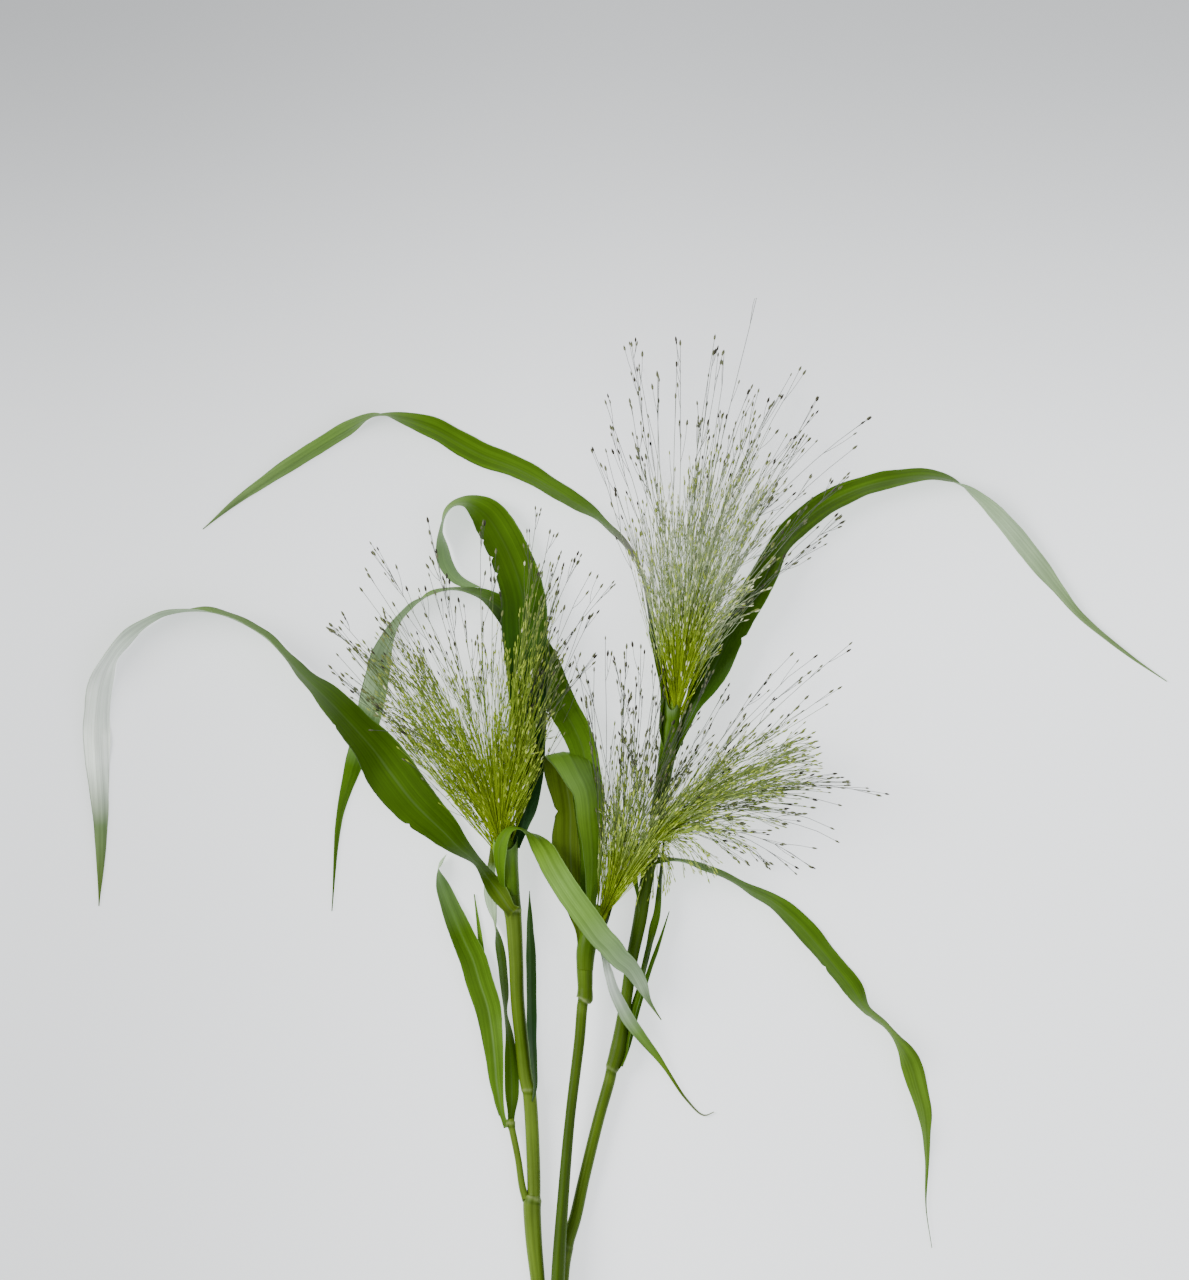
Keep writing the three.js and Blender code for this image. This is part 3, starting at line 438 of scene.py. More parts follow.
# The looks of the blades, from base to tip: [share of the length, upper face, underside].
USUAL_LOOK = [[0, MOSS, MIST], [0.4, FERN, MIST], [1, GRASS, MIST]]
LOOKS = {
    "leaf_upper_left": [
        [0, FERN, MIST], [0.09, APPLE, MIST], [0.19, FERN, FERN], [0.23, DRY, DRY], [0.31, DRY, DRY],
        [0.35, FERN, MIST], [0.45, FERN, SAGE], [0.62, FERN, MIST], [0.78, GRASS, LIME], [1, GRASS, MIST],
    ],
    "leaf_upper_right": [
        [0, MOSS, MIST], [0.12, FOREST, MIST], [0.3, MOSS, MIST], [0.55, MOSS, SAGE],
        [0.7, GRASS, SILVER], [0.85, GRASS, MIST], [1, MOSS, MIST],
    ],
    "leaf_far_left": [
        [0, OLIVE, MIST], [0.08, MOSS, MIST], [0.3, MOSS, MIST], [0.42, FERN, SAGE], [0.6, GRASS, SILVER],
        # Where it hangs, its underside carries a near-white painted glossy highlight.
        [0.7, GRASS, PAINTED_GLOSS], [0.82, GRASS, PAINTED_GLOSS], [0.9, GRASS, MIST], [1, OLIVE, OLIVE],
    ],
    "leaf_looped": [
        [0, NIGHT, MIST], [0.3, NIGHT, MIST], [0.45, FOREST, MIST], [0.6, MOSS, SAGE],
        [0.75, FERN, SILVER], [0.88, MIST, SAGE], [1, LIME, SAGE],
    ],
    "leaf_ribbon": [
        [0, FERN, MIST], [0.12, GRASS, MIST], [0.21, GRASS, SAGE], [0.27, FERN, MIST], [0.45, MOSS, MIST],
        [0.58, GRASS, SAGE], [0.68, MIST, SILVER], [0.76, MIST, SAGE], [0.81, FERN, FERN],
        [1, MOSS, MOSS],
    ],
    "leaf_folded": [
        [0, OLIVE, OLIVE], [0.2, OLIVE, OLIVE], [0.33, OLIVE, GRASS], [0.38, APPLE, LIME],
        # Part of its underside carries a near-white painted glossy highlight.
        [0.45, GRASS, APPLE], [0.52, FERN, GRASS], [0.64, FERN, FERN], [0.7, SILVER, PAINTED_GLOSS],
        [0.76, SAGE, SILVER], [0.81, APPLE, LIME], [0.87, OLIVE, APPLE], [0.93, OLIVE, OLIVE],
        [1, DRY, DRY],
    ],
    "leaf_flag": [
        [0, MOSS, MOSS], [0.1, FERN, FERN], [0.22, GRASS, GRASS], [0.34, APPLE, APPLE],
        [0.45, APPLE, LIME], [0.58, MIST, LIME], [0.7, SAGE, SAGE], [0.87, SAGE, SILVER],
        [0.93, MIST, MIST], [1, OLIVE, OLIVE],
    ],
    "leaf_lower_right": [
        [0, MOSS, MIST], [0.25, FERN, SAGE], [0.4, FERN, MIST], [0.55, FERN, MIST], [0.68, APPLE, MIST],
        [0.85, APPLE, MIST], [1, MOSS, MIST],
    ],
    "leaf_shoot_left": [[0, FERN, MIST], [0.3, GRASS, MIST], [0.7, FERN, MIST], [1, SAGE, SILVER]],
    "leaf_shoot_tall": [
        [0, MOSS, MIST], [0.7, FERN, MIST], [0.75, SILVER, SILVER], [0.88, SILVER, SILVER],
        [0.92, OLIVE, OLIVE], [1, OLIVE, OLIVE],
    ],
    "leaf_pointed": [[0, FOREST, MOSS], [0.3, NIGHT, MOSS], [1, FOREST, MOSS]],
    "leaf_thin_right": [[0, MOSS, MIST], [1, MOSS, MIST]],
}

# How pale the midrib is; a blade that isn't named has a faint one.
FAINT_MIDRIB = 0.07
MIDRIBS = {"leaf_far_left": 0.08, "leaf_shoot_left": 0.2, "leaf_flag": 0.03, "leaf_looped": 0.06}

# Nicks in the margins: [x, y, how deep, how long], in millimetres.
NICKS = {
    "leaf_upper_right": [[39.7, 105, 1.2, 3.2]],
    "leaf_far_left": [[-73, 43.7, 0.9, 2.4], [-97, 76, 0.5, 1.8]],
    "leaf_looped": [[-45.4, 131.7, 1.3, 2.2], [-42.4, 127.6, 1.0, 2.0], [-47.5, 138, 0.7, 1.6]],
    "leaf_folded": [[-23.4, 48, 1.0, 3.0]],
    "leaf_lower_right": [[66, -4, 0.8, 2.5], [80, -22, 0.8, 2.5]],
}

# Joints of the culms: [y, how far the ring leans, how high it stands, how pale it is].
JOINTS = {
    "culm_left": [
        [-125, 0.2, 0.2, 0.5], [-81.7, 0.5, 0.12, 0.45], [-45.2, 0.4, 0.1, 0.35], [15.4, 0.9, 0.15, 0.7],
    ],
    "culm_middle": [[-14.9, 0.7, 0.1, 0.7]],
    "culm_right": [[-97.5, 0.3, 0.1, 0.15], [-38.2, 0.5, 0.1, 0.35], [31.7, 0.8, 0.1, 0.45]],
    "side_shoot": [[-56.3, 0.2, 0.05, 0.3]],
}

# Colours of the culms from the cut end to the seed head: [y, colour].
CULM_LOOKS = {
    "culm_left": [
        [-220, CULM_GREEN], [-84, CULM_LIGHT], [-46, CULM_LIGHT], [-30, CULM_GREEN], [14, CULM_LIGHT],
        [16, CULM_DARK], [28, FERN], [43, APPLE],
    ],
    "culm_middle": [
        [-220, CULM_DARK], [-60, CULM_DARK], [-16, CULM_GREEN], [-13, CULM_GREEN], [17, APPLE],
    ],
    "culm_right": [
        [-220, CULM_DARK], [-60, CULM_GREEN], [-38, CULM_GREEN], [0, CULM_DARK], [40, CULM_DARK],
        [90, APPLE],
    ],
    "side_shoot": [[-82, CULM_LIGHT], [-54, CULM_LIGHT]],
}

# Open sheaths round the culms, as stations [x, y, z, radius], and how far the mouth is cut slanting.
SHEATHS = {
    "culm_left": {
        "stations": [
            [-38.3, 20, 5.7, 2.95], [-39.0, 26.5, 6.4, 3.3], [-39.8, 31.5, 7.0, 3.9],
            [-40.2, 36, 7.5, 4.3], [-40.2, 40, 8.0, 4.1],
        ],
        "slant": 1.1,
        "look": [[0, MOSS], [0.5, GRASS], [1, LIME]],
    },
    "culm_right": {
        "stations": [
            [6.9, 26, 5.8, 2.2], [8.4, 33, 6.2, 2.35], [9.8, 42, 6.6, 2.4], [12.0, 56, 7.1, 2.5],
            [13.9, 68, 7.6, 2.9], [14.6, 74, 7.8, 2.8], [15.1, 79, 8.1, 2.8], [15.4, 84, 8.4, 2.7],
            [15.6, 88, 8.6, 2.4],
        ],
        "slant": 2.6,
        "look": [[0, CULM_DARK], [0.5, MOSS], [0.8, FERN], [1, FERN]],
    },
    "culm_middle": {
        "stations": [
            [-13.7, -5, 7.9, 2.8], [-13.4, 1, 8.0, 3.2], [-12.4, 6, 8.4, 3.2], [-11.2, 10, 8.9, 2.7],
        ],
        "slant": 1.0,
        "look": [[0, CULM_GREEN], [1, FERN]],
    },
}

# Seed heads. The axis runs from "root" to "crown", and near the root the rays start over a width of
# "foot". Headings are in degrees from +X. "tips" are rays that the photograph shows one by one, as
# [heading, length] seen from "from". "rows" go from right to left: [heading, length of the dense part,
# longest length, share of the rays, heading at which they leave the axis]. "far" gives the share of rays
# that go past the dense part, by heading, and "hair" the headings between which the foot has hair.
# "pale" is how pale the threads and husks turn, partly their own colour and partly a painted sunlit
# highlight, and "late" how near the crown the rightmost rays start.
SEED_HEADS = {
    "seed_head_left": {
        "root": [-41.4, 34, 7.8],
        "foot": 5,
        "pale": 0.0,
        "late": 0,
        "hair": [62, 126],
        "far": [[60, 0.3], [151, 0.3]],
        "from": [-42.4, 43],
        "crown": [-44.3, 56, 10.5],
        "rays": 190,
        "tips": [
            [60, 62], [65, 89], [74, 91], [83, 103.5], [93, 100], [103, 103.5], [114, 100], [120, 90],
            [130, 84], [137, 74],
        ],
        "rows": [
            [60, 34, 60, 0.4, 70], [66, 42, 88, 1.0, 74], [74, 64, 91, 1.7, 79], [83, 74, 103, 1.9, 86],
            [92, 58, 98, 0.9, 93], [103, 52, 103, 0.9, 101], [114, 60, 99, 1.2, 109],
            [122, 64, 90, 1.8, 116], [130, 62, 84, 1.8, 122], [137, 48, 76, 1.4, 128],
            [144, 26, 56, 0.4, 130], [151, 15, 34, 0.15, 132],
        ],
    },
    "seed_head_middle": {
        "root": [-9.4, 10.5, 9.2],
        "foot": 3,
        "pale": 0.2,
        "late": 0.95,
        "hair": [46, 88],
        "far": [[50, 0.35], [68, 0.55], [94, 0.55]],
        "from": [-8.4, 18],
        "crown": [5, 37, 13.5],
        "rays": 190,
        "tips": [
            [10, 70], [18, 80], [21.3, 98], [39, 85.5], [46, 118.6], [52.4, 103], [64, 84], [75, 76],
            [81, 85], [89, 87], [96, 81],
        ],
        "rows": [
            [7, 22, 66, 0.12, 30], [13, 32, 76, 0.4, 34], [20, 50, 97, 0.8, 38], [28, 70, 91, 1.2, 42],
            [36, 82, 86, 2.0, 48], [44, 74, 112, 1.6, 54], [50, 58, 108, 1.3, 58], [60, 40, 84, 1.0, 64],
            [70, 42, 76, 0.7, 72], [79, 46, 86, 0.9, 79], [86, 46, 84, 0.8, 84], [94, 26, 80, 0.3, 88],
        ],
    },
    "seed_head_right": {
        "root": [16.2, 78, 8.0],
        "foot": 4,
        "pale": 0.75,
        "late": 0,
        "hair": [66, 104],
        "far": [[44, 0.3], [108, 0.3]],
        "from": [17.2, 88],
        "crown": [19, 102, 11.5],
        "rays": 180,
        "tips": [
            [47, 78], [51.6, 90], [55.6, 107.5], [64.7, 107], [69.3, 113.7], [78.7, 133], [84, 112],
            [89.6, 114.7], [97.6, 115.3], [104, 98], [109.3, 84.4],
        ],
        "rows": [
            [44, 30, 70, 0.15, 72], [50, 44, 88, 0.45, 73], [56, 60, 107, 0.9, 74],
            [64, 74, 107, 1.4, 76], [72, 74, 114, 1.8, 79], [79, 72, 131, 1.6, 83],
            [86, 70, 114, 1.5, 87], [94, 66, 114, 1.3, 92], [101, 60, 108, 1.0, 97],
            [108, 52, 84, 0.6, 101],
        ],
    },
}


# Curves


def unit(vectors):
    return vectors / np.maximum(np.linalg.norm(vectors, axis=-1, keepdims=True), TINY)


def stretches(times, count):
    """The stretch between two stations that each time falls in, and the part of it that is passed."""
    place = np.clip(times, 0, 1) * (count - 1)
    index = np.minimum(place.astype(int), count - 2)
    return index, (place - index)[:, None]


def cubic(start, end, leaving, arriving, part):
    """A curve between two values with these slopes at its ends, and its own slope, along the way."""
    square = 3 * (end - start) - 2 * leaving - arriving
    cube = 2 * (start - end) + leaving + arriving
    value = start + leaving * part + square * part**2 + cube * part**3
    return value, leaving + 2 * square * part + 3 * cube * part**2


def line_at(points, times):
    """Points and directions of the smooth line through the stations, at times from 0 to 1."""
    before = 2 * points[0] - points[1]
    after = 2 * points[-1] - points[-2]
    stations = np.vstack([before, points, after])
    index, part = stretches(times, len(points))
    p0, p1, p2, p3 = (stations[index + step] for step in range(4))

    def span(a, b):
        return np.maximum(np.linalg.norm(b - a, axis=1, keepdims=True) ** 0.5, SHORTEST_SPAN)

    d0, d1, d2 = span(p0, p1), span(p1, p2), span(p2, p3)
    leaving = ((p1 - p0) / d0 - (p2 - p0) / (d0 + d1) + (p2 - p1) / d1) * d1
    arriving = ((p2 - p1) / d1 - (p3 - p1) / (d1 + d2) + (p3 - p2) / d2) * d1
    line, slope = cubic(p1, p2, leaving, arriving, part)
    return line, unit(slope)


def values_at(values, times):
    """The stations' other values, smoothly joined, at times from 0 to 1."""
    last = len(values) - 1
    index, part = stretches(times, len(values))
    before, start, end, after = (values[np.clip(index + step, 0, last)] for step in (-1, 0, 1, 2))
    joined, _ = cubic(start, end, (end - before) / 2, (after - start) / 2, part)
    return joined


def even_times(points, step):
    """Times that step evenly along the line, and the line's length."""
    fine = np.linspace(0, 1, FINE_STEPS * len(points))
    places, _ = line_at(points, fine)
    lengths = np.concatenate([[0], np.cumsum(np.linalg.norm(np.diff(places, axis=0), axis=1))])
    count = int(lengths[-1] / step)
    return np.interp(np.linspace(0, lengths[-1], count + 1), lengths, fine), lengths[-1]


def followed(stations, step):
    """Even times along the stations' line, its points and directions there, and its length."""
    points = stations[:, :3]
    times, length = even_times(points, step)
    return times, *line_at(points, times), length


def carried(points, times, along):
    """A direction across a blade, carried along it in two steps for each stretch, as in the solids.

    The first station isn't the solid's own, and takes the direction of the second.
    """
    own = points[1:]
    count = (len(own) - 1) * STEPS_PER_STRETCH
    _, coarse_along = line_at(own, np.arange(count + 1) / count)
    side = unit(np.cross(UP, coarse_along[0]))
    sides = []
    for direction in coarse_along:
        side = unit(side - direction * side.dot(direction))
        sides.append(side)
    sides = np.array(sides)
    steps = (times * (len(points) - 1) - 1) * STEPS_PER_STRETCH
    fine = np.stack([np.interp(steps, np.arange(count + 1), sides[:, k]) for k in range(3)], axis=-1)
    return unit(fine - along * np.sum(fine * along, axis=1, keepdims=True))


def wander(positions, seed, wavelength):
    """Smooth random values between about -1 and 1."""
    source = np.random.default_rng(seed)
    total = np.zeros(len(positions))
    for share in WAVE_SHARES:
        total += np.sin(positions * TURN / (wavelength * share) + source.uniform(0, TURN))
    return total / len(WAVE_SHARES)


def bump(distance, width):
    """A soft rise that is 1 at no distance and falls to nothing past the width."""
    return np.exp(-((distance / width) ** 2))


def rise(value, start, over):
    return np.clip((value - start) / over, 0, 1)


# Meshes


def grid_faces(rows, columns, start, flip):
    """Quads of a grid of points that starts at that index."""
    corner = np.arange(rows - 1)[:, None] * columns + np.arange(columns - 1) + start
    corners = [corner, corner + 1, corner + 1 + columns, corner + columns]
    if flip:
        corners.reverse()
    return np.stack(corners, axis=-1).reshape(-1, 4)


def strip(*corners):
    """Faces whose corners come from these lists of indices."""
    return np.stack(corners, axis=-1)


def widened(values, columns):
    """The values, repeated for every column."""
    return np.repeat(values[:, None, :], columns, axis=1)


def mesh_object(name, points, faces, colours, grain):
    """A piece from arrays in millimetres, with its colours and its grain coordinates on the points."""
    points = np.clip(points, np.array(cad_low) / MM, np.array(cad_high) / MM)
    mesh = bpy.data.meshes.new(name)
    mesh.vertices.add(len(points))
    mesh.vertices.foreach_set("co", (points * MM).astype(np.float32).ravel())
    sizes = np.concatenate([np.full(len(block), block.shape[1]) for block in faces])
    corners = np.concatenate([block.ravel() for block in faces])
    mesh.loops.add(len(corners))
    mesh.loops.foreach_set("vertex_index", corners.astype(np.int32))
    mesh.polygons.add(len(sizes))
    starts = np.concatenate([[0], np.cumsum(sizes)[:-1]])
    mesh.polygons.foreach_set("loop_start", starts.astype(np.int32))
    mesh.polygons.foreach_set("use_smooth", np.ones(len(sizes), dtype=bool))
    mesh.update()
    mesh.validate()
    opaque = np.hstack([colours, np.ones((len(colours), 1))])
    for layer, kind, field, values in (
        ("tint", "FLOAT_COLOR", "color", opaque),
        ("grain", "FLOAT_VECTOR", "vector", grain),
    ):
        data = mesh.attributes.new(layer, kind, "POINT").data
        data.foreach_set(field, values.astype(np.float32).ravel())
    piece = bpy.data.objects.new(name, mesh)
    bpy.context.scene.collection.objects.link(piece)
    return piece


def hand_in(piece, material, node):
    piece.data.materials.append(material)
    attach(piece, "root")
    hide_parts(node)


def blend(stops, place, column):
    """Colours between the stops, whose first value is the place along the piece."""
    places = [stop[0] for stop in stops]
    colours = np.array([stop[column] for stop in stops])
    return np.stack([np.interp(place, places, colours[:, k]) for k in range(3)], axis=-1)


def toward(colours, target, weight):
    """The colours, each drawn toward the target by its weight."""
    return colours * (1 - weight[..., None]) + np.array(target) * weight[..., None]


# Blades


def blade_rings(stations):
    """A blade's rings: their centres, directions across and out of the face, half widths and length."""
    times, centre, along, length = followed(stations, RING_STEP)
    values = values_at(stations[:, 3:5], times)
    half = np.maximum(values[:, 0], NARROWEST) / 2
    roll = np.radians(values[:, 1])[:, None]
    side = carried(stations[:, :3], times, along)
    across = side * np.cos(roll) + np.cross(along, side) * np.sin(roll)
    face = np.cross(along, across)

    # Where the solid would cut into the surface, its ring is lifted, and so is this one.
    rim_height = face[:, 2] * CHANNEL * 2 * half
    thickness = np.minimum(CAD_THICKNESS, CAD_TIP_THICKNESS + CAD_THICKENING * half)
    undersides = [
        across[:, 2] * half + rim_height,
        -across[:, 2] * half + rim_height,
        -np.abs(face[:, 2]) * thickness / 2,
    ]
    lowest = centre[:, 2] + np.min(undersides, axis=0)
    centre[:, 2] += np.maximum(0, SURFACE_GAP - lowest)
    return centre, across, face, half, length


def nick_depths(name, margin, positions):
    """How deep a blade is nicked along one margin."""
    depths = np.zeros(len(positions))
    for x, y, depth, long in NICKS.get(name, []):
        away = np.linalg.norm(margin[:, :2] - [x, y], axis=1)
        nearest = np.argmin(away)
        if away[nearest] < NICK_REACH:
            depths += depth * np.maximum(0, 1 - np.abs(positions - positions[nearest]) / (long / 2))
    return depths


def blade_faces(rows, columns):
    """Faces of an upper and a lower layer of points, and of the rim between them."""
    count = rows * columns
    left = np.arange(rows) * columns
    right = left + columns - 1
    first = np.arange(columns - 1)
    end = first + (rows - 1) * columns
    return [
        grid_faces(rows, columns, 0, True),
        grid_faces(rows, columns, count, False),
        strip(left[:-1], left[1:], left[1:] + count, left[:-1] + count),
        strip(right[:-1], right[:-1] + count, right[1:] + count, right[1:]),
        strip(first, first + count, first + 1 + count, first + 1),
        strip(end, end + 1, end + 1 + count, end + count),
    ]


def blade(name, stations, material, seed):
    centre, across, face, half, length = blade_rings(np.array(stations))
    rows = len(centre)
    columns = BLADE_COLUMNS + 1
    over = np.linspace(1, -1, columns)
    positions = np.linspace(0, length, rows)
    share = positions / length
    calm = np.clip(np.minimum(share, 1 - share) * CALM_ENDS, 0, 1)
    ripple_height = calm * np.minimum(WAVE_SHARE * half, WAVE_HEIGHT)
    wave = np.zeros((rows, columns))
    reach = np.zeros((rows, columns))
    for sign in (1, -1):
        on_side = np.clip(over * sign, 0, 1)
        wave_seed = seed * SEEDS_EACH + sign
        ripple = wander(positions, wave_seed, WAVE_LENGTH) * ripple_height
        wave += on_side**2 * ripple[:, None]
        ragged = RAGGED * wander(positions, wave_seed + SEEDS_EACH // 2, RAGGED_LENGTH)
        uneven = UNEVEN * wander(positions, seed + sign, UNEVEN_LENGTH)
        margin = centre + across * (half * sign)[:, None]
        edge = half * (1 + ragged + uneven) - nick_depths(name, margin, positions)
        reach += sign * on_side * edge[:, None]

    channel = CHANNEL * 2 * half[:, None] * np.abs(over) ** FOLD + wave
    body = MARGIN_THICKNESS + (LEAF_THICKNESS - MARGIN_THICKNESS) * (1 - np.abs(over) ** BODY_CURVE)
    body = body * np.minimum(1, half / THIN_BELOW)[:, None]
    rib_strength = (np.clip(RIB_FADE - share, 0, 1) * np.minimum(1, half / RIB_FULL))[:, None]
    keel = KEEL * bump(reach, KEEL_WIDTH) * rib_strength
    flat = centre[:, None, :] + across[:, None, :] * reach[:, :, None]
    top = flat + face[:, None, :] * (channel + body / 2)[:, :, None]
    under = flat + face[:, None, :] * (channel - body / 2 - keel)[:, :, None]
    points = np.concatenate([top.reshape(-1, 3), under.reshape(-1, 3)])
    points[:, 2] = np.maximum(points[:, 2], SURFACE_GAP)

    stops = LOOKS.get(name, USUAL_LOOK)
    rib = MIDRIBS.get(name, FAINT_MIDRIB) * bump(reach, RIB_WIDTH) * rib_strength
    rim = rise(np.abs(reach) - half[:, None], -RIM_WIDTH, RIM_WIDTH) * RIM_TINT
    colours = []
    for column in (1, 2):
        tone = toward(widened(blend(stops, share, column), columns), SILVER, rib)
        colours.append(toward(tone, SAGE, rim).reshape(-1, 3))
    along = np.broadcast_to(positions[:, None], reach.shape)
    grain = np.stack([reach, along, np.full_like(reach, seed * GRAIN_SHIFT)], axis=-1)
    both = np.tile(grain.reshape(-1, 3), (2, 1))
    faces = blade_faces(rows, columns)
    piece = mesh_object(name + "_leaf", points, faces, np.concatenate(colours), both)
    hand_in(piece, material, name)


# Culms and sheaths


def rings_round(centre, along, radii):
    """Points of round rings along a line."""
    side = unit(np.cross(UP, along))
    up = np.cross(along, side)
    ring = side[:, None, :] * np.cos(CULM_ANGLES)[:, None] + up[:, None, :] * np.sin(CULM_ANGLES)[:, None]
    return centre[:, None, :] + ring * radii[:, :, None]


def round_grain(positions, ribs, shift):
    """Grain coordinates of a round piece with so many ribs."""
    shape = (len(positions), CULM_RING)
    around = np.broadcast_to(CULM_ANGLES / TURN * ribs, shape)
    along = np.broadcast_to(positions[:, None], shape)
    return np.stack([around, along, np.full(shape, shift)], axis=-1).reshape(-1, 3)


def culm(name, stations, material, seed):
    stations = np.array(stations)
    times, centre, along, length = followed(stations, CULM_STEP)
    rows = len(times)
    radius = np.interp(times, np.linspace(0, 1, len(stations)), stations[:, 3])
    positions = np.linspace(0, length, rows)
    radii = radius[:, None] * (1 + RIB_HEIGHT * np.cos(CULM_ANGLES * CULM_RIBS))
    colours = widened(blend(CULM_LOOKS[name], centre[:, 1], 1), CULM_RING)
    for y, lean, height, pale in JOINTS[name]:
        here = np.interp(y, centre[:, 1], positions)
        away = positions[:, None] - here - lean * np.cos(CULM_ANGLES)
        radii = radii + height * bump(away, JOINT_WIDTH)
        colours = toward(colours, COLLAR, pale * bump(away, JOINT_WIDTH))
        for colour, strength, below, width in JOINT_BANDS:
            colours = toward(colours, colour, strength * bump(away + below, width))
    points = rings_round(centre, along, radii)
    points[:, :, 2] = np.maximum(points[:, :, 2], SURFACE_GAP)
    points = points.reshape(-1, 3)
    grain = round_grain(positions, GRAIN_RIBS, seed * CULM_SHIFT)

    # The cut end: a slanted rim, then a hollow with pale pith, whose deep ring and bottom are painted dark
    # olive as painted shade.
    rim = points[:CULM_RING]
    rim[:, 1] += (rim[:, 2] - rim[:, 2].mean()) * CUT_SLANT
    middle = rim.mean(axis=0)
    inner = middle + (rim - middle) * HOLLOW
    deep = inner + along[0] * HOLLOW_DEPTH
    pit = middle + along[0] * PIT_DEPTH
    start = len(points)
    points = np.vstack([points, inner, deep, pit, centre[-1]])
    pith = np.tile(SILVER, (CULM_RING, 1))
    # The deep ring and the pit take dark olive: painted shade in the hollow.
    shade = np.tile(OLIVE, (CULM_RING + 1, 1))
    colours = np.vstack([colours.reshape(-1, 3), pith, shade, CULM_DARK])
    grain = np.vstack([grain, grain[:CULM_RING], grain[:CULM_RING], grain[0], grain[-1]])
    outer = np.arange(CULM_SIDES)
    inside = outer + start
    bottom = inside + CULM_RING
    last = outer + (rows - 1) * CULM_RING
    pit_point = np.full(CULM_SIDES, start + 2 * CULM_RING)
    faces = [
        grid_faces(rows, CULM_RING, 0, False),
        strip(outer + 1, outer, inside, inside + 1),
        strip(inside + 1, inside, bottom, bottom + 1),
        strip(bottom + 1, bottom, pit_point),
        strip(last, last + 1, pit_point + 1),
    ]
    piece = mesh_object(name + "_stem", points, faces, colours, grain)
    hand_in(piece, material, name)


def sheath(name, parts, material, seed):
    """An open leaf sheath round a culm, with an inner and an outer wall and a slanted mouth; the inner
    wall is painted near-black as painted shade.
    """
    stations = np.array(parts["stations"])
    times, centre, along, length = followed(stations, CULM_STEP)
    radius = values_at(stations[:, 3:4], times)
    rows = len(times)
    share = np.linspace(0, 1, rows)
    lean = (share**LEAN_CURVE)[:, None] * parts["slant"] * radius * np.sin(CULM_ANGLES)
    walls = []
    for wall_radius in (radius, radius - SHEATH_WALL):
        wall = rings_round(centre, along, np.repeat(wall_radius, CULM_RING, axis=1))
        wall -= along[:, None, :] * lean[:, :, None]
        wall[:, :, 2] = np.maximum(wall[:, :, 2], SURFACE_GAP)
        walls.append(wall.reshape(-1, 3))
    count = rows * CULM_RING
    first = np.arange(CULM_SIDES)
    last = first + (rows - 1) * CULM_RING
    faces = [
        grid_faces(rows, CULM_RING, 0, False),
        grid_faces(rows, CULM_RING, count, True),
        strip(last, last + 1, last + 1 + count, last + count),
        strip(first + 1, first, first + count, first + 1 + count),
    ]
    tone = widened(blend(parts["look"], share, 1), CULM_RING)
    mouth = MOUTH_TINT * bump(share - 1, MOUTH_SHARE)
    tone = toward(tone, SILVER, np.repeat(mouth[:, None], CULM_RING, axis=1))
    # The inner wall is painted near-black: painted shade inside the sheath.
    colours = np.concatenate([tone.reshape(-1, 3), np.tile(NIGHT, (count, 1))])
    grain = np.tile(round_grain(share * length, SHEATH_RIBS, seed * SHEATH_SHIFT), (2, 1))
    piece = mesh_object(name + "_sheath", np.concatenate(walls), faces, colours, grain)
    hand_in(piece, material, name)


# Seed heads


def swept(paths, along, radii, shades, sides):
    """Rings round every path, joined to tubes: points, faces and colours."""
    count, steps, _ = paths.shape
    side = unit(np.cross(along, NEARLY_UP))
    up = np.cross(along, side)
    angle = (np.arange(sides) / sides * TURN)[:, None]
    ring = side[:, :, None, :] * np.cos(angle) + up[:, :, None, :] * np.sin(angle)
    points = paths[:, :, None, :] + ring * radii[:, :, None, None]
    index = np.arange(count * steps * sides).reshape(count, steps, sides)
    turned = np.roll(index, -1, axis=2)
    faces = strip(index[:, :-1], turned[:, :-1], turned[:, 1:], index[:, 1:]).reshape(-1, 4)
    colours = np.repeat(shades[:, :, None, :], sides, axis=2)
    return points.reshape(-1, 3), faces, colours.reshape(-1, 3)


def threads(paths, radii, shades):
    """Thin tubes along the paths, from the first radius to the second."""
    along = unit(np.gradient(paths, axis=1))
    thinning = np.tile(np.linspace(*radii, paths.shape[1]), (len(paths), 1))
    return swept(paths, along, thinning, shades, RAY_SIDES)


def husks(places, ways, lengths, widths, shades):
    """Pointed husks that begin at the places and follow the ways, with darker tips."""
    profile = np.array(HUSK_PROFILE)
    steps = profile[:, 0] * lengths[:, None]
    along = widened(ways, len(profile))
    paths = places[:, None, :] + along * steps[:, :, None]
    radii = profile[:, 1] * widths[:, None] / 2
    tones = toward(shades[:, None, :], HUSK_DARK_AND_SHADE, HUSK_TIP_TINT * profile[:, 0] ** HUSK_TIP_CURVE)
    return swept(paths, along, radii, tones, HUSK_SIDES)


def bezier(start, bend, end, steps):
    time = np.linspace(0, 1, steps)[:, None]
    first, middle, last = (point[:, None, :] for point in (start, bend, end))
    return first * (1 - time) ** 2 + 2 * middle * time * (1 - time) + last * time**2


def headings(angle, slope):
    return unit(np.stack([np.cos(angle), np.sin(angle), slope], axis=-1))


def thread_colour(far, pale):
    """From the yellow-green core through paler threads, partly a painted sunlit highlight, to the grey
    outer ones.
    """
    core = np.broadcast_to(np.array(CORE), far.shape + (3,))
    inner = toward(core, THREAD, rise(far, 0, CORE_SIZE) ** CORE_CURVE)
    inner = toward(inner, THREAD_PALE_AND_HIGHLIGHT, pale * rise(far, PALE_FROM, PALE_OVER))
    return toward(inner, THREAD_OUTER, rise(far, GREY_FROM, GREY_OVER))


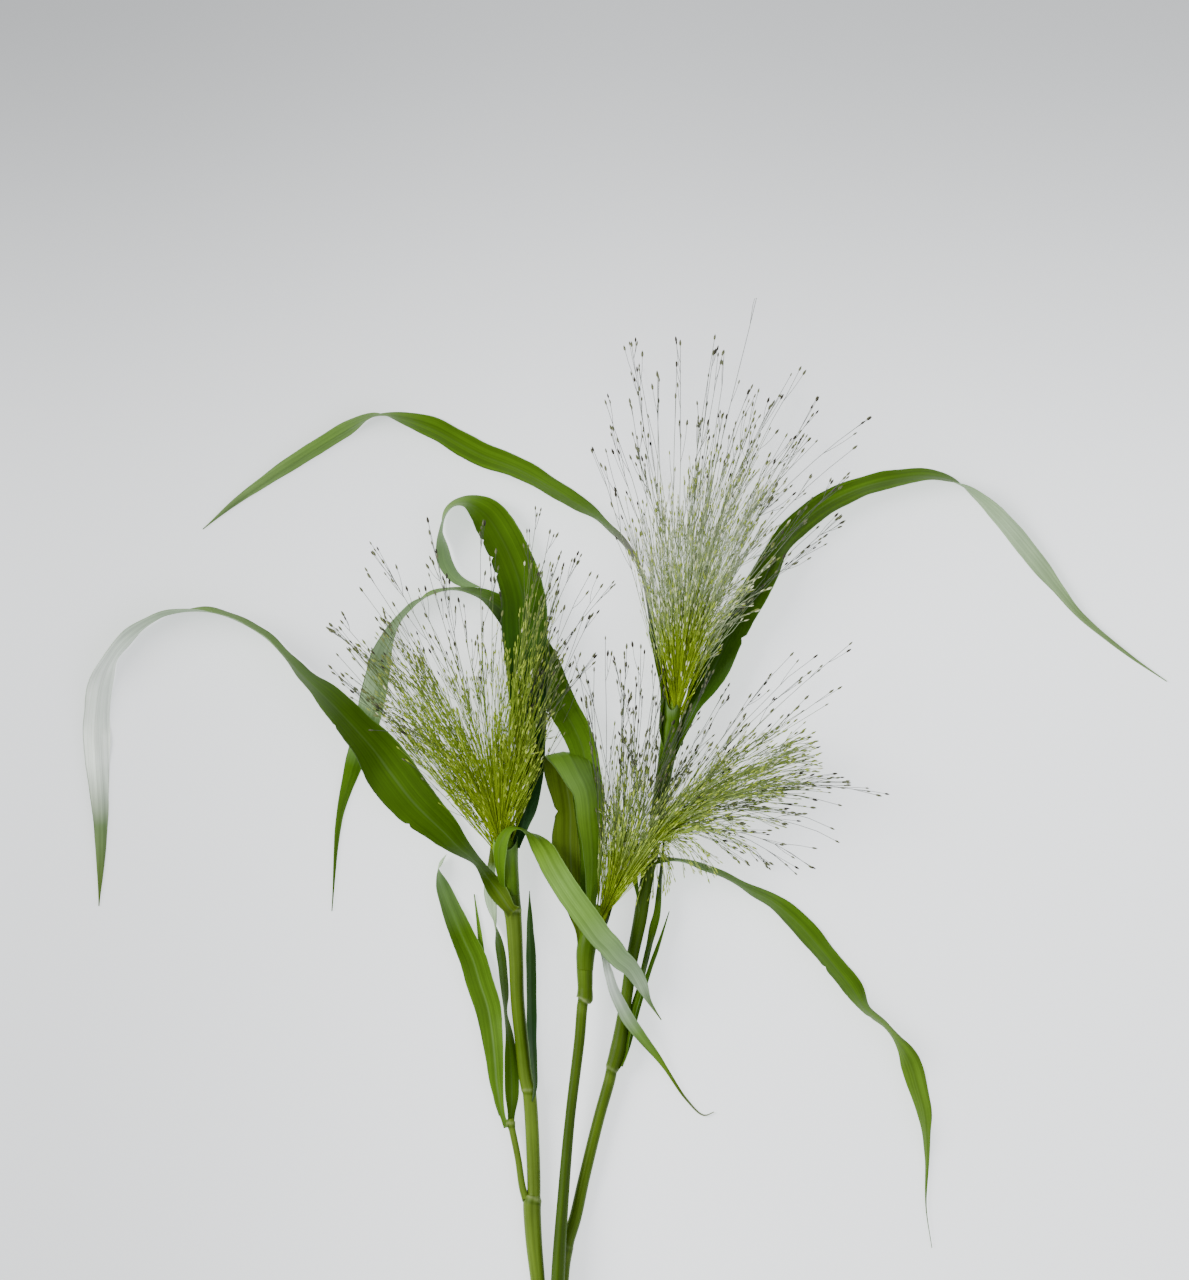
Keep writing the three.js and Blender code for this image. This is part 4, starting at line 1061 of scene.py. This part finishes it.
def spray_rays(parts, source):
    """A seed head's rays: their paths, their lengths, the dense part's, and which go past it."""
    root, crown, rows = parts["root"], parts["crown"], parts["rows"]
    turns = rows[:, 0]
    count = int(parts["rays"])
    weights = rows[:, 3] / rows[:, 3].sum()
    picks = (np.arange(count) + source.uniform(0, 1, count)) / count
    heading = np.interp(picks, np.cumsum(weights) - weights / 2, turns)
    dense, longest, begin = (np.interp(heading, turns, rows[:, column]) for column in (1, 2, 4))
    far = source.uniform(0, 1, count) < np.interp(heading, *parts["far"].T)
    beyond = dense + (longest - dense) * source.uniform(*BEYOND_SHARES, count) ** BEYOND_CURVE
    within = dense * source.uniform(*WITHIN_SHARES, count)
    length = np.where(far, beyond, within)
    tilt = source.uniform(0, 1, count)

    # The rays that the photograph shows one by one take the place of their nearest ones.
    tip_headings, tip_lengths = parts["tips"].T
    nearest = [np.argmin(np.abs(heading - turn)) for turn in tip_headings]
    heading[nearest] = tip_headings
    length[nearest] = tip_lengths
    tilt[nearest] = TIP_TILT
    spread = np.clip(length / LEVEL_LENGTH, LEAST_SPREAD, 1)
    tip_height = (LOW_TIP + (HIGH_TIP - LOW_TIP) * tilt - root[2]) * spread
    angle = np.radians(heading)
    reach = np.stack([length * np.cos(angle), length * np.sin(angle), tip_height], axis=-1)
    tip = np.array([*parts["from"], root[2]]) + reach

    middle = math.radians(turns.mean())
    across = np.array([math.sin(middle), -math.cos(middle), 0])
    aside = (turns.mean() - heading) / np.ptp(turns) * parts["foot"]
    climb = source.uniform(0, 1, count) ** CLIMB_CURVE
    lowest = parts["late"] * rise(LATE_FROM - heading, 0, LATE_OVER)
    climb = (lowest + (1 - lowest) * climb)[:, None]
    start = root + (crown - root) * climb + across * (aside[:, None] * (1 - climb))
    slope = RAY_SLOPE + SLOPE_BY_TILT * (tilt - LEVEL_TILT)
    out = headings(np.radians(begin + source.normal(0, START_SCATTER, count)), slope)
    paths = bezier(start, start + out * (length * RAY_BEND)[:, None], tip, RAY_STEPS)
    wobble = source.normal(0, RAY_WOBBLE, (count, RAY_STEPS, 2)).cumsum(axis=1)
    paths[:, 1:-1, :2] += wobble[:, 1:-1]
    return paths, length, dense, far


def branchlets(paths, length, dense, far, root, source):
    """Branchlets leave each ray on its outer part and lean forward, and some fork once more.

    Gives each generation's paths, and how far out their ends are, as a share of the dense part.
    """
    fewest, most = BRANCH_COUNTS
    number = np.clip((length / BRANCH_SPACING).astype(int) + BRANCH_EXTRA, fewest, most)
    owner = np.repeat(np.arange(len(paths)), number)
    at = source.uniform(*BRANCH_PLACES, len(owner)) ** PLACE_CURVE
    bare = far[owner] & (source.uniform(0, 1, len(owner)) < BARE_SHARE)
    at = np.where(bare, at * np.minimum(dense / length, 1)[owner], at)
    left = length[owner] * (1 - at)
    place = at * (RAY_STEPS - 1)
    index = np.minimum(place.astype(int), RAY_STEPS - 2)
    part = (place - index)[:, None]
    start = paths[owner, index] * (1 - part) + paths[owner, index + 1] * part
    way = unit(paths[owner, index + 1] - paths[owner, index])
    for size in GENERATION_SIZES:
        amount = len(start)
        off = source.normal(0, BRANCH_SPREAD, (amount, 3))
        aim = unit(way + off)
        share = source.uniform(*BRANCH_SHARES, amount)
        reach = share * np.minimum(length[owner], LONG_RAY) + BRANCH_LEAST
        reach = np.minimum(reach, left + BEYOND_TIP) * size
        end = start + aim * reach[:, None]
        middle = start + unit(way + off * BRANCH_BEND) * (reach / 2)[:, None]
        branch = bezier(start, middle, end, BRANCH_STEPS)
        yield branch, np.linalg.norm(end - root, axis=1) / dense[owner]
        forks = source.uniform(0, 1, amount) < FORK_SHARE
        start = branch[forks, 1]
        way = aim[forks]
        owner = owner[forks]
        left = left[forks]


def foot_hair(parts, source):
    """Short hair at the foot of the spray: its paths, and its lengths as shares of the dense part."""
    axis = parts["crown"] - parts["root"]
    heading = source.uniform(*parts["hair"], HAIR_COUNT)
    full = np.interp(heading, parts["rows"][:, 0], parts["rows"][:, 1])
    length = np.minimum(source.uniform(*HAIR_LENGTHS, HAIR_COUNT), full * HAIR_MOST)
    start = parts["root"] + unit(axis) * (source.uniform(0, 1, HAIR_COUNT) * HAIR_CLIMB)[:, None]
    slope = source.uniform(*HAIR_SLOPES, HAIR_COUNT)
    axis_heading = math.degrees(math.atan2(axis[1], axis[0]))
    turn = axis_heading + (heading - axis_heading) * HAIR_TURN
    end = start + headings(np.radians(heading), slope) * length[:, None]
    bend = start + headings(np.radians(turn), slope) * (length / 2)[:, None]
    return bezier(start, bend, end, HAIR_STEPS), length / full


def dressed_husks(places, ways, away, pale_threads, source):
    """Husks at the ends of the threads: green inside, brown outside; some outer ones dark, partly their
    own colour and partly painted shade, and some pale, partly a painted sunlit highlight.
    """
    amount = len(places)
    brown = np.clip((away - BROWN_FROM) / BROWN_OVER + source.normal(0, BROWN_SCATTER, amount), 0, 1)
    shades = toward(np.tile(HUSK, (amount, 1)), HUSK_BROWN, brown)
    pale_and_highlight_share = (PALE_AND_HIGHLIGHT_SHARE + PALE_AND_HIGHLIGHT_BY_THREADS * pale_threads) * (1 - brown)
    shades[source.uniform(0, 1, amount) < pale_and_highlight_share] = HUSK_PALE_AND_HIGHLIGHT
    shades[source.uniform(0, 1, amount) < DARK_AND_SHADE_SHARE * brown] = HUSK_DARK_AND_SHADE
    lengths = source.uniform(*HUSK_LENGTHS, amount) * (1 + (HUSK_OUTER - 1) * brown)
    narrow, broad = HUSK_WIDTHS
    widths = lengths * (narrow + (broad - narrow) * brown) * source.uniform(*WIDTH_SCATTER, amount)
    return husks(places, ways, lengths, widths, shades)


def seed_head(name, parts, material, seed):
    source = np.random.default_rng(seed)
    parts = {key: np.array(value, dtype=float) for key, value in parts.items()}
    root, crown, pale = parts["root"], parts["crown"], parts["pale"]
    paths, length, dense, far = spray_rays(parts, source)
    out = np.linspace(0, 1, RAY_STEPS) * (length / dense)[:, None]
    blocks = [threads(paths, RAY_RADII, thread_colour(out, pale))]
    ended = [(paths, length / dense)]
    for branch, away in branchlets(paths, length, dense, far, root, source):
        shade = widened(thread_colour(away, pale), BRANCH_STEPS)
        blocks.append(threads(branch, BRANCH_RADII, shade))
        ended.append((branch, away))
    hair, share = foot_hair(parts, source)
    out = np.linspace(0, 1, HAIR_STEPS) * share[:, None]
    blocks.append(threads(hair, HAIR_RADII, thread_colour(out, pale)))
    ended.append((hair, share * HAIR_GREEN))
    axis = bezier(root[None, :] - AXIS_FOOT, (root + crown)[None, :] / 2, crown[None, :], RAY_STEPS)
    blocks.append(threads(axis, AXIS_RADII, np.tile(CORE, (1, RAY_STEPS, 1))))
    places = np.concatenate([path[:, -1] for path, _ in ended])
    ways = unit(np.concatenate([path[:, -1] - path[:, -2] for path, _ in ended]))
    away = np.concatenate([away for _, away in ended])
    blocks.append(dressed_husks(places, ways, away, pale, source))

    starts = np.cumsum([0] + [len(block[0]) for block in blocks])
    points = np.concatenate([block[0] for block in blocks])
    faces = [block[1] + start for block, start in zip(blocks, starts)]
    colours = np.concatenate([block[2] for block in blocks])
    points[:, 2] = np.clip(points[:, 2], LOWEST, HIGHEST)
    piece = mesh_object(name + "_spray", points, faces, colours, points)
    hand_in(piece, material, name)


# Materials


def node(tree, kind, output, sockets, **settings):
    """One output of a new shader node, whose sockets take values or other nodes' outputs."""
    made = tree.nodes.new("ShaderNode" + kind)
    for setting, value in settings.items():
        setattr(made, setting, value)
    for socket, value in sockets.items():
        if isinstance(value, bpy.types.NodeSocket):
            tree.links.new(value, made.inputs[socket])
        else:
            made.inputs[socket].default_value = value
    return made.outputs[output]


def new_material(name):
    material = bpy.data.materials.new(name)
    material.use_nodes = True
    material.node_tree.nodes.clear()
    return material, material.node_tree


def surface(tree, sockets):
    output = tree.nodes.new("ShaderNodeOutputMaterial")
    tree.links.new(node(tree, "BsdfPrincipled", "BSDF", sockets), output.inputs["Surface"])


def ranged(tree, value, wanted, given=NOISE_RANGE, kind="LINEAR"):
    """The value, taken from the given range to the wanted one."""
    limits = dict(zip(("From Min", "From Max", "To Min", "To Max"), (*given, *wanted)))
    return node(tree, "MapRange", "Result", {"Value": value, **limits}, interpolation_type=kind)


def product(tree, a, b):
    return node(tree, "Math", 0, {0: a, 1: b}, operation="MULTIPLY")


def scaled_colour(tree, colour, factor):
    return node(tree, "VectorMath", 0, {0: colour, "Scale": factor}, operation="SCALE")


def grass_material(name, scales, roughness, relief_height, specular):
    """Parallel veins, broader streaks and soft patches over the tint, with a waxy sheen."""
    material, tree = new_material(name)
    grain = node(tree, "Attribute", "Vector", {}, attribute_name="grain")
    noises = []
    for scale, detail in zip(scales, NOISE_DETAILS):
        place = node(tree, "Mapping", "Vector", {"Vector": grain, "Scale": scale})
        noises.append(node(tree, "TexNoise", "Fac", {"Vector": place, "Scale": 1, "Detail": detail}))
    veins, streaks, patches = noises
    factor = product(tree, ranged(tree, veins, VEIN_TINTS), ranged(tree, streaks, STREAK_TINTS))
    factor = product(tree, factor, ranged(tree, patches, PATCH_TINTS))
    tint = node(tree, "Attribute", "Color", {}, attribute_name="tint")
    relief = {"Strength": RELIEF_STRENGTH, "Distance": relief_height, "Height": veins}
    surface(tree, {
        "Base Color": scaled_colour(tree, tint, factor),
        "Roughness": ranged(tree, streaks, (roughness - SHEEN_BELOW, roughness + SHEEN_ABOVE)),
        "Normal": node(tree, "Bump", "Normal", relief),
        "Specular IOR Level": specular,
    })
    return material


materials = {name: grass_material(name, *values) for name, values in MATERIALS.items()}

for pieces, build, look, first_seed in (
    (CULMS, culm, "culm", 1),
    (SHEATHS, sheath, "culm", 11),
    (BLADES, blade, "blade", 1),
    (SEED_HEADS, seed_head, "seed_head", 21),
):
    for number, (name, parts) in enumerate(pieces.items()):
        build(name, parts, materials[look], number + first_seed)


# Floor, lights and camera


def floor():
    """A pale floor with painted shade that darkens it toward the far left, and a painted glow that fades
    the shadows on it.
    """
    mesh = bpy.data.meshes.new("floor")
    corners = [(x * FLOOR_HALF, y * FLOOR_HALF, 0) for x, y in ((-1, -1), (1, -1), (1, 1), (-1, 1))]
    mesh.from_pydata(corners, [], [(0, 1, 2, 3)])
    piece = bpy.data.objects.new("floor", mesh)
    bpy.context.scene.collection.objects.link(piece)
    material, tree = new_material("floor")
    place = tree.nodes.new("ShaderNodeTexCoord").outputs["Object"]
    axes = tree.nodes.new("ShaderNodeSeparateXYZ")
    tree.links.new(place, axes.inputs[0])
    # Painted shade: the floor darkens toward the far left.
    shades = [
        ranged(tree, axes.outputs[axis], (1, darkest), (near, away), "SMOOTHSTEP")
        for axis, near, away, darkest in FLOOR_PAINTED_SHADE
    ]
    grain = node(tree, "TexNoise", "Fac", {"Vector": place, "Scale": FLOOR_GRAIN})
    ramp = tree.nodes.new("ShaderNodeValToRGB")
    ramp.color_ramp.elements[0].color = FLOOR_COOL
    ramp.color_ramp.elements[1].color = FLOOR_WARM
    tree.links.new(grain, ramp.inputs["Fac"])
    colour = scaled_colour(tree, ramp.outputs["Color"], product(tree, *shades))
    surface(tree, {
        "Base Color": colour,
        "Emission Color": colour,
        # Painted light: the floor glows with its own colour, fading the shadows on it.
        "Emission Strength": FLOOR_PAINTED_GLOW,
        "Roughness": FLOOR_ROUGHNESS,
        "Specular IOR Level": FLOOR_SPECULAR,
    })
    mesh.materials.append(material)


def area_light(name, place, size, power, colour):
    data = bpy.data.lights.new(name, "AREA")
    data.shape = "DISK"
    data.size = size
    data.energy = power
    data.color = colour
    lamp = bpy.data.objects.new(name, data)
    lamp.location = place
    direction = np.array(LIGHT_AIM) - np.array(place)
    yaw = math.atan2(direction[1], direction[0])
    pitch = math.acos(-direction[2] / np.linalg.norm(direction))
    lamp.rotation_euler = (pitch, 0, yaw - math.pi / 2)
    bpy.context.scene.collection.objects.link(lamp)


floor()
for name, values in LIGHTS.items():
    area_light(name, *values)

world = bpy.data.worlds.new("studio")
world.use_nodes = True
background = world.node_tree.nodes["Background"]
background.inputs["Color"].default_value = SKY
background.inputs["Strength"].default_value = SKY_STRENGTH
bpy.context.scene.world = world

camera_data = bpy.data.cameras.new("camera")
camera_data.lens = LENS
camera_data.sensor_width = SENSOR
camera_data.clip_end = FARTHEST
camera = bpy.data.objects.new("camera", camera_data)
distance = VIEW_HEIGHT * LENS / SENSOR
camera.location = (VIEW_MIDDLE[0] * MM, VIEW_MIDDLE[1] * MM, (VIEW_LEVEL + distance) * MM)
bpy.context.scene.collection.objects.link(camera)
bpy.context.scene.camera = camera
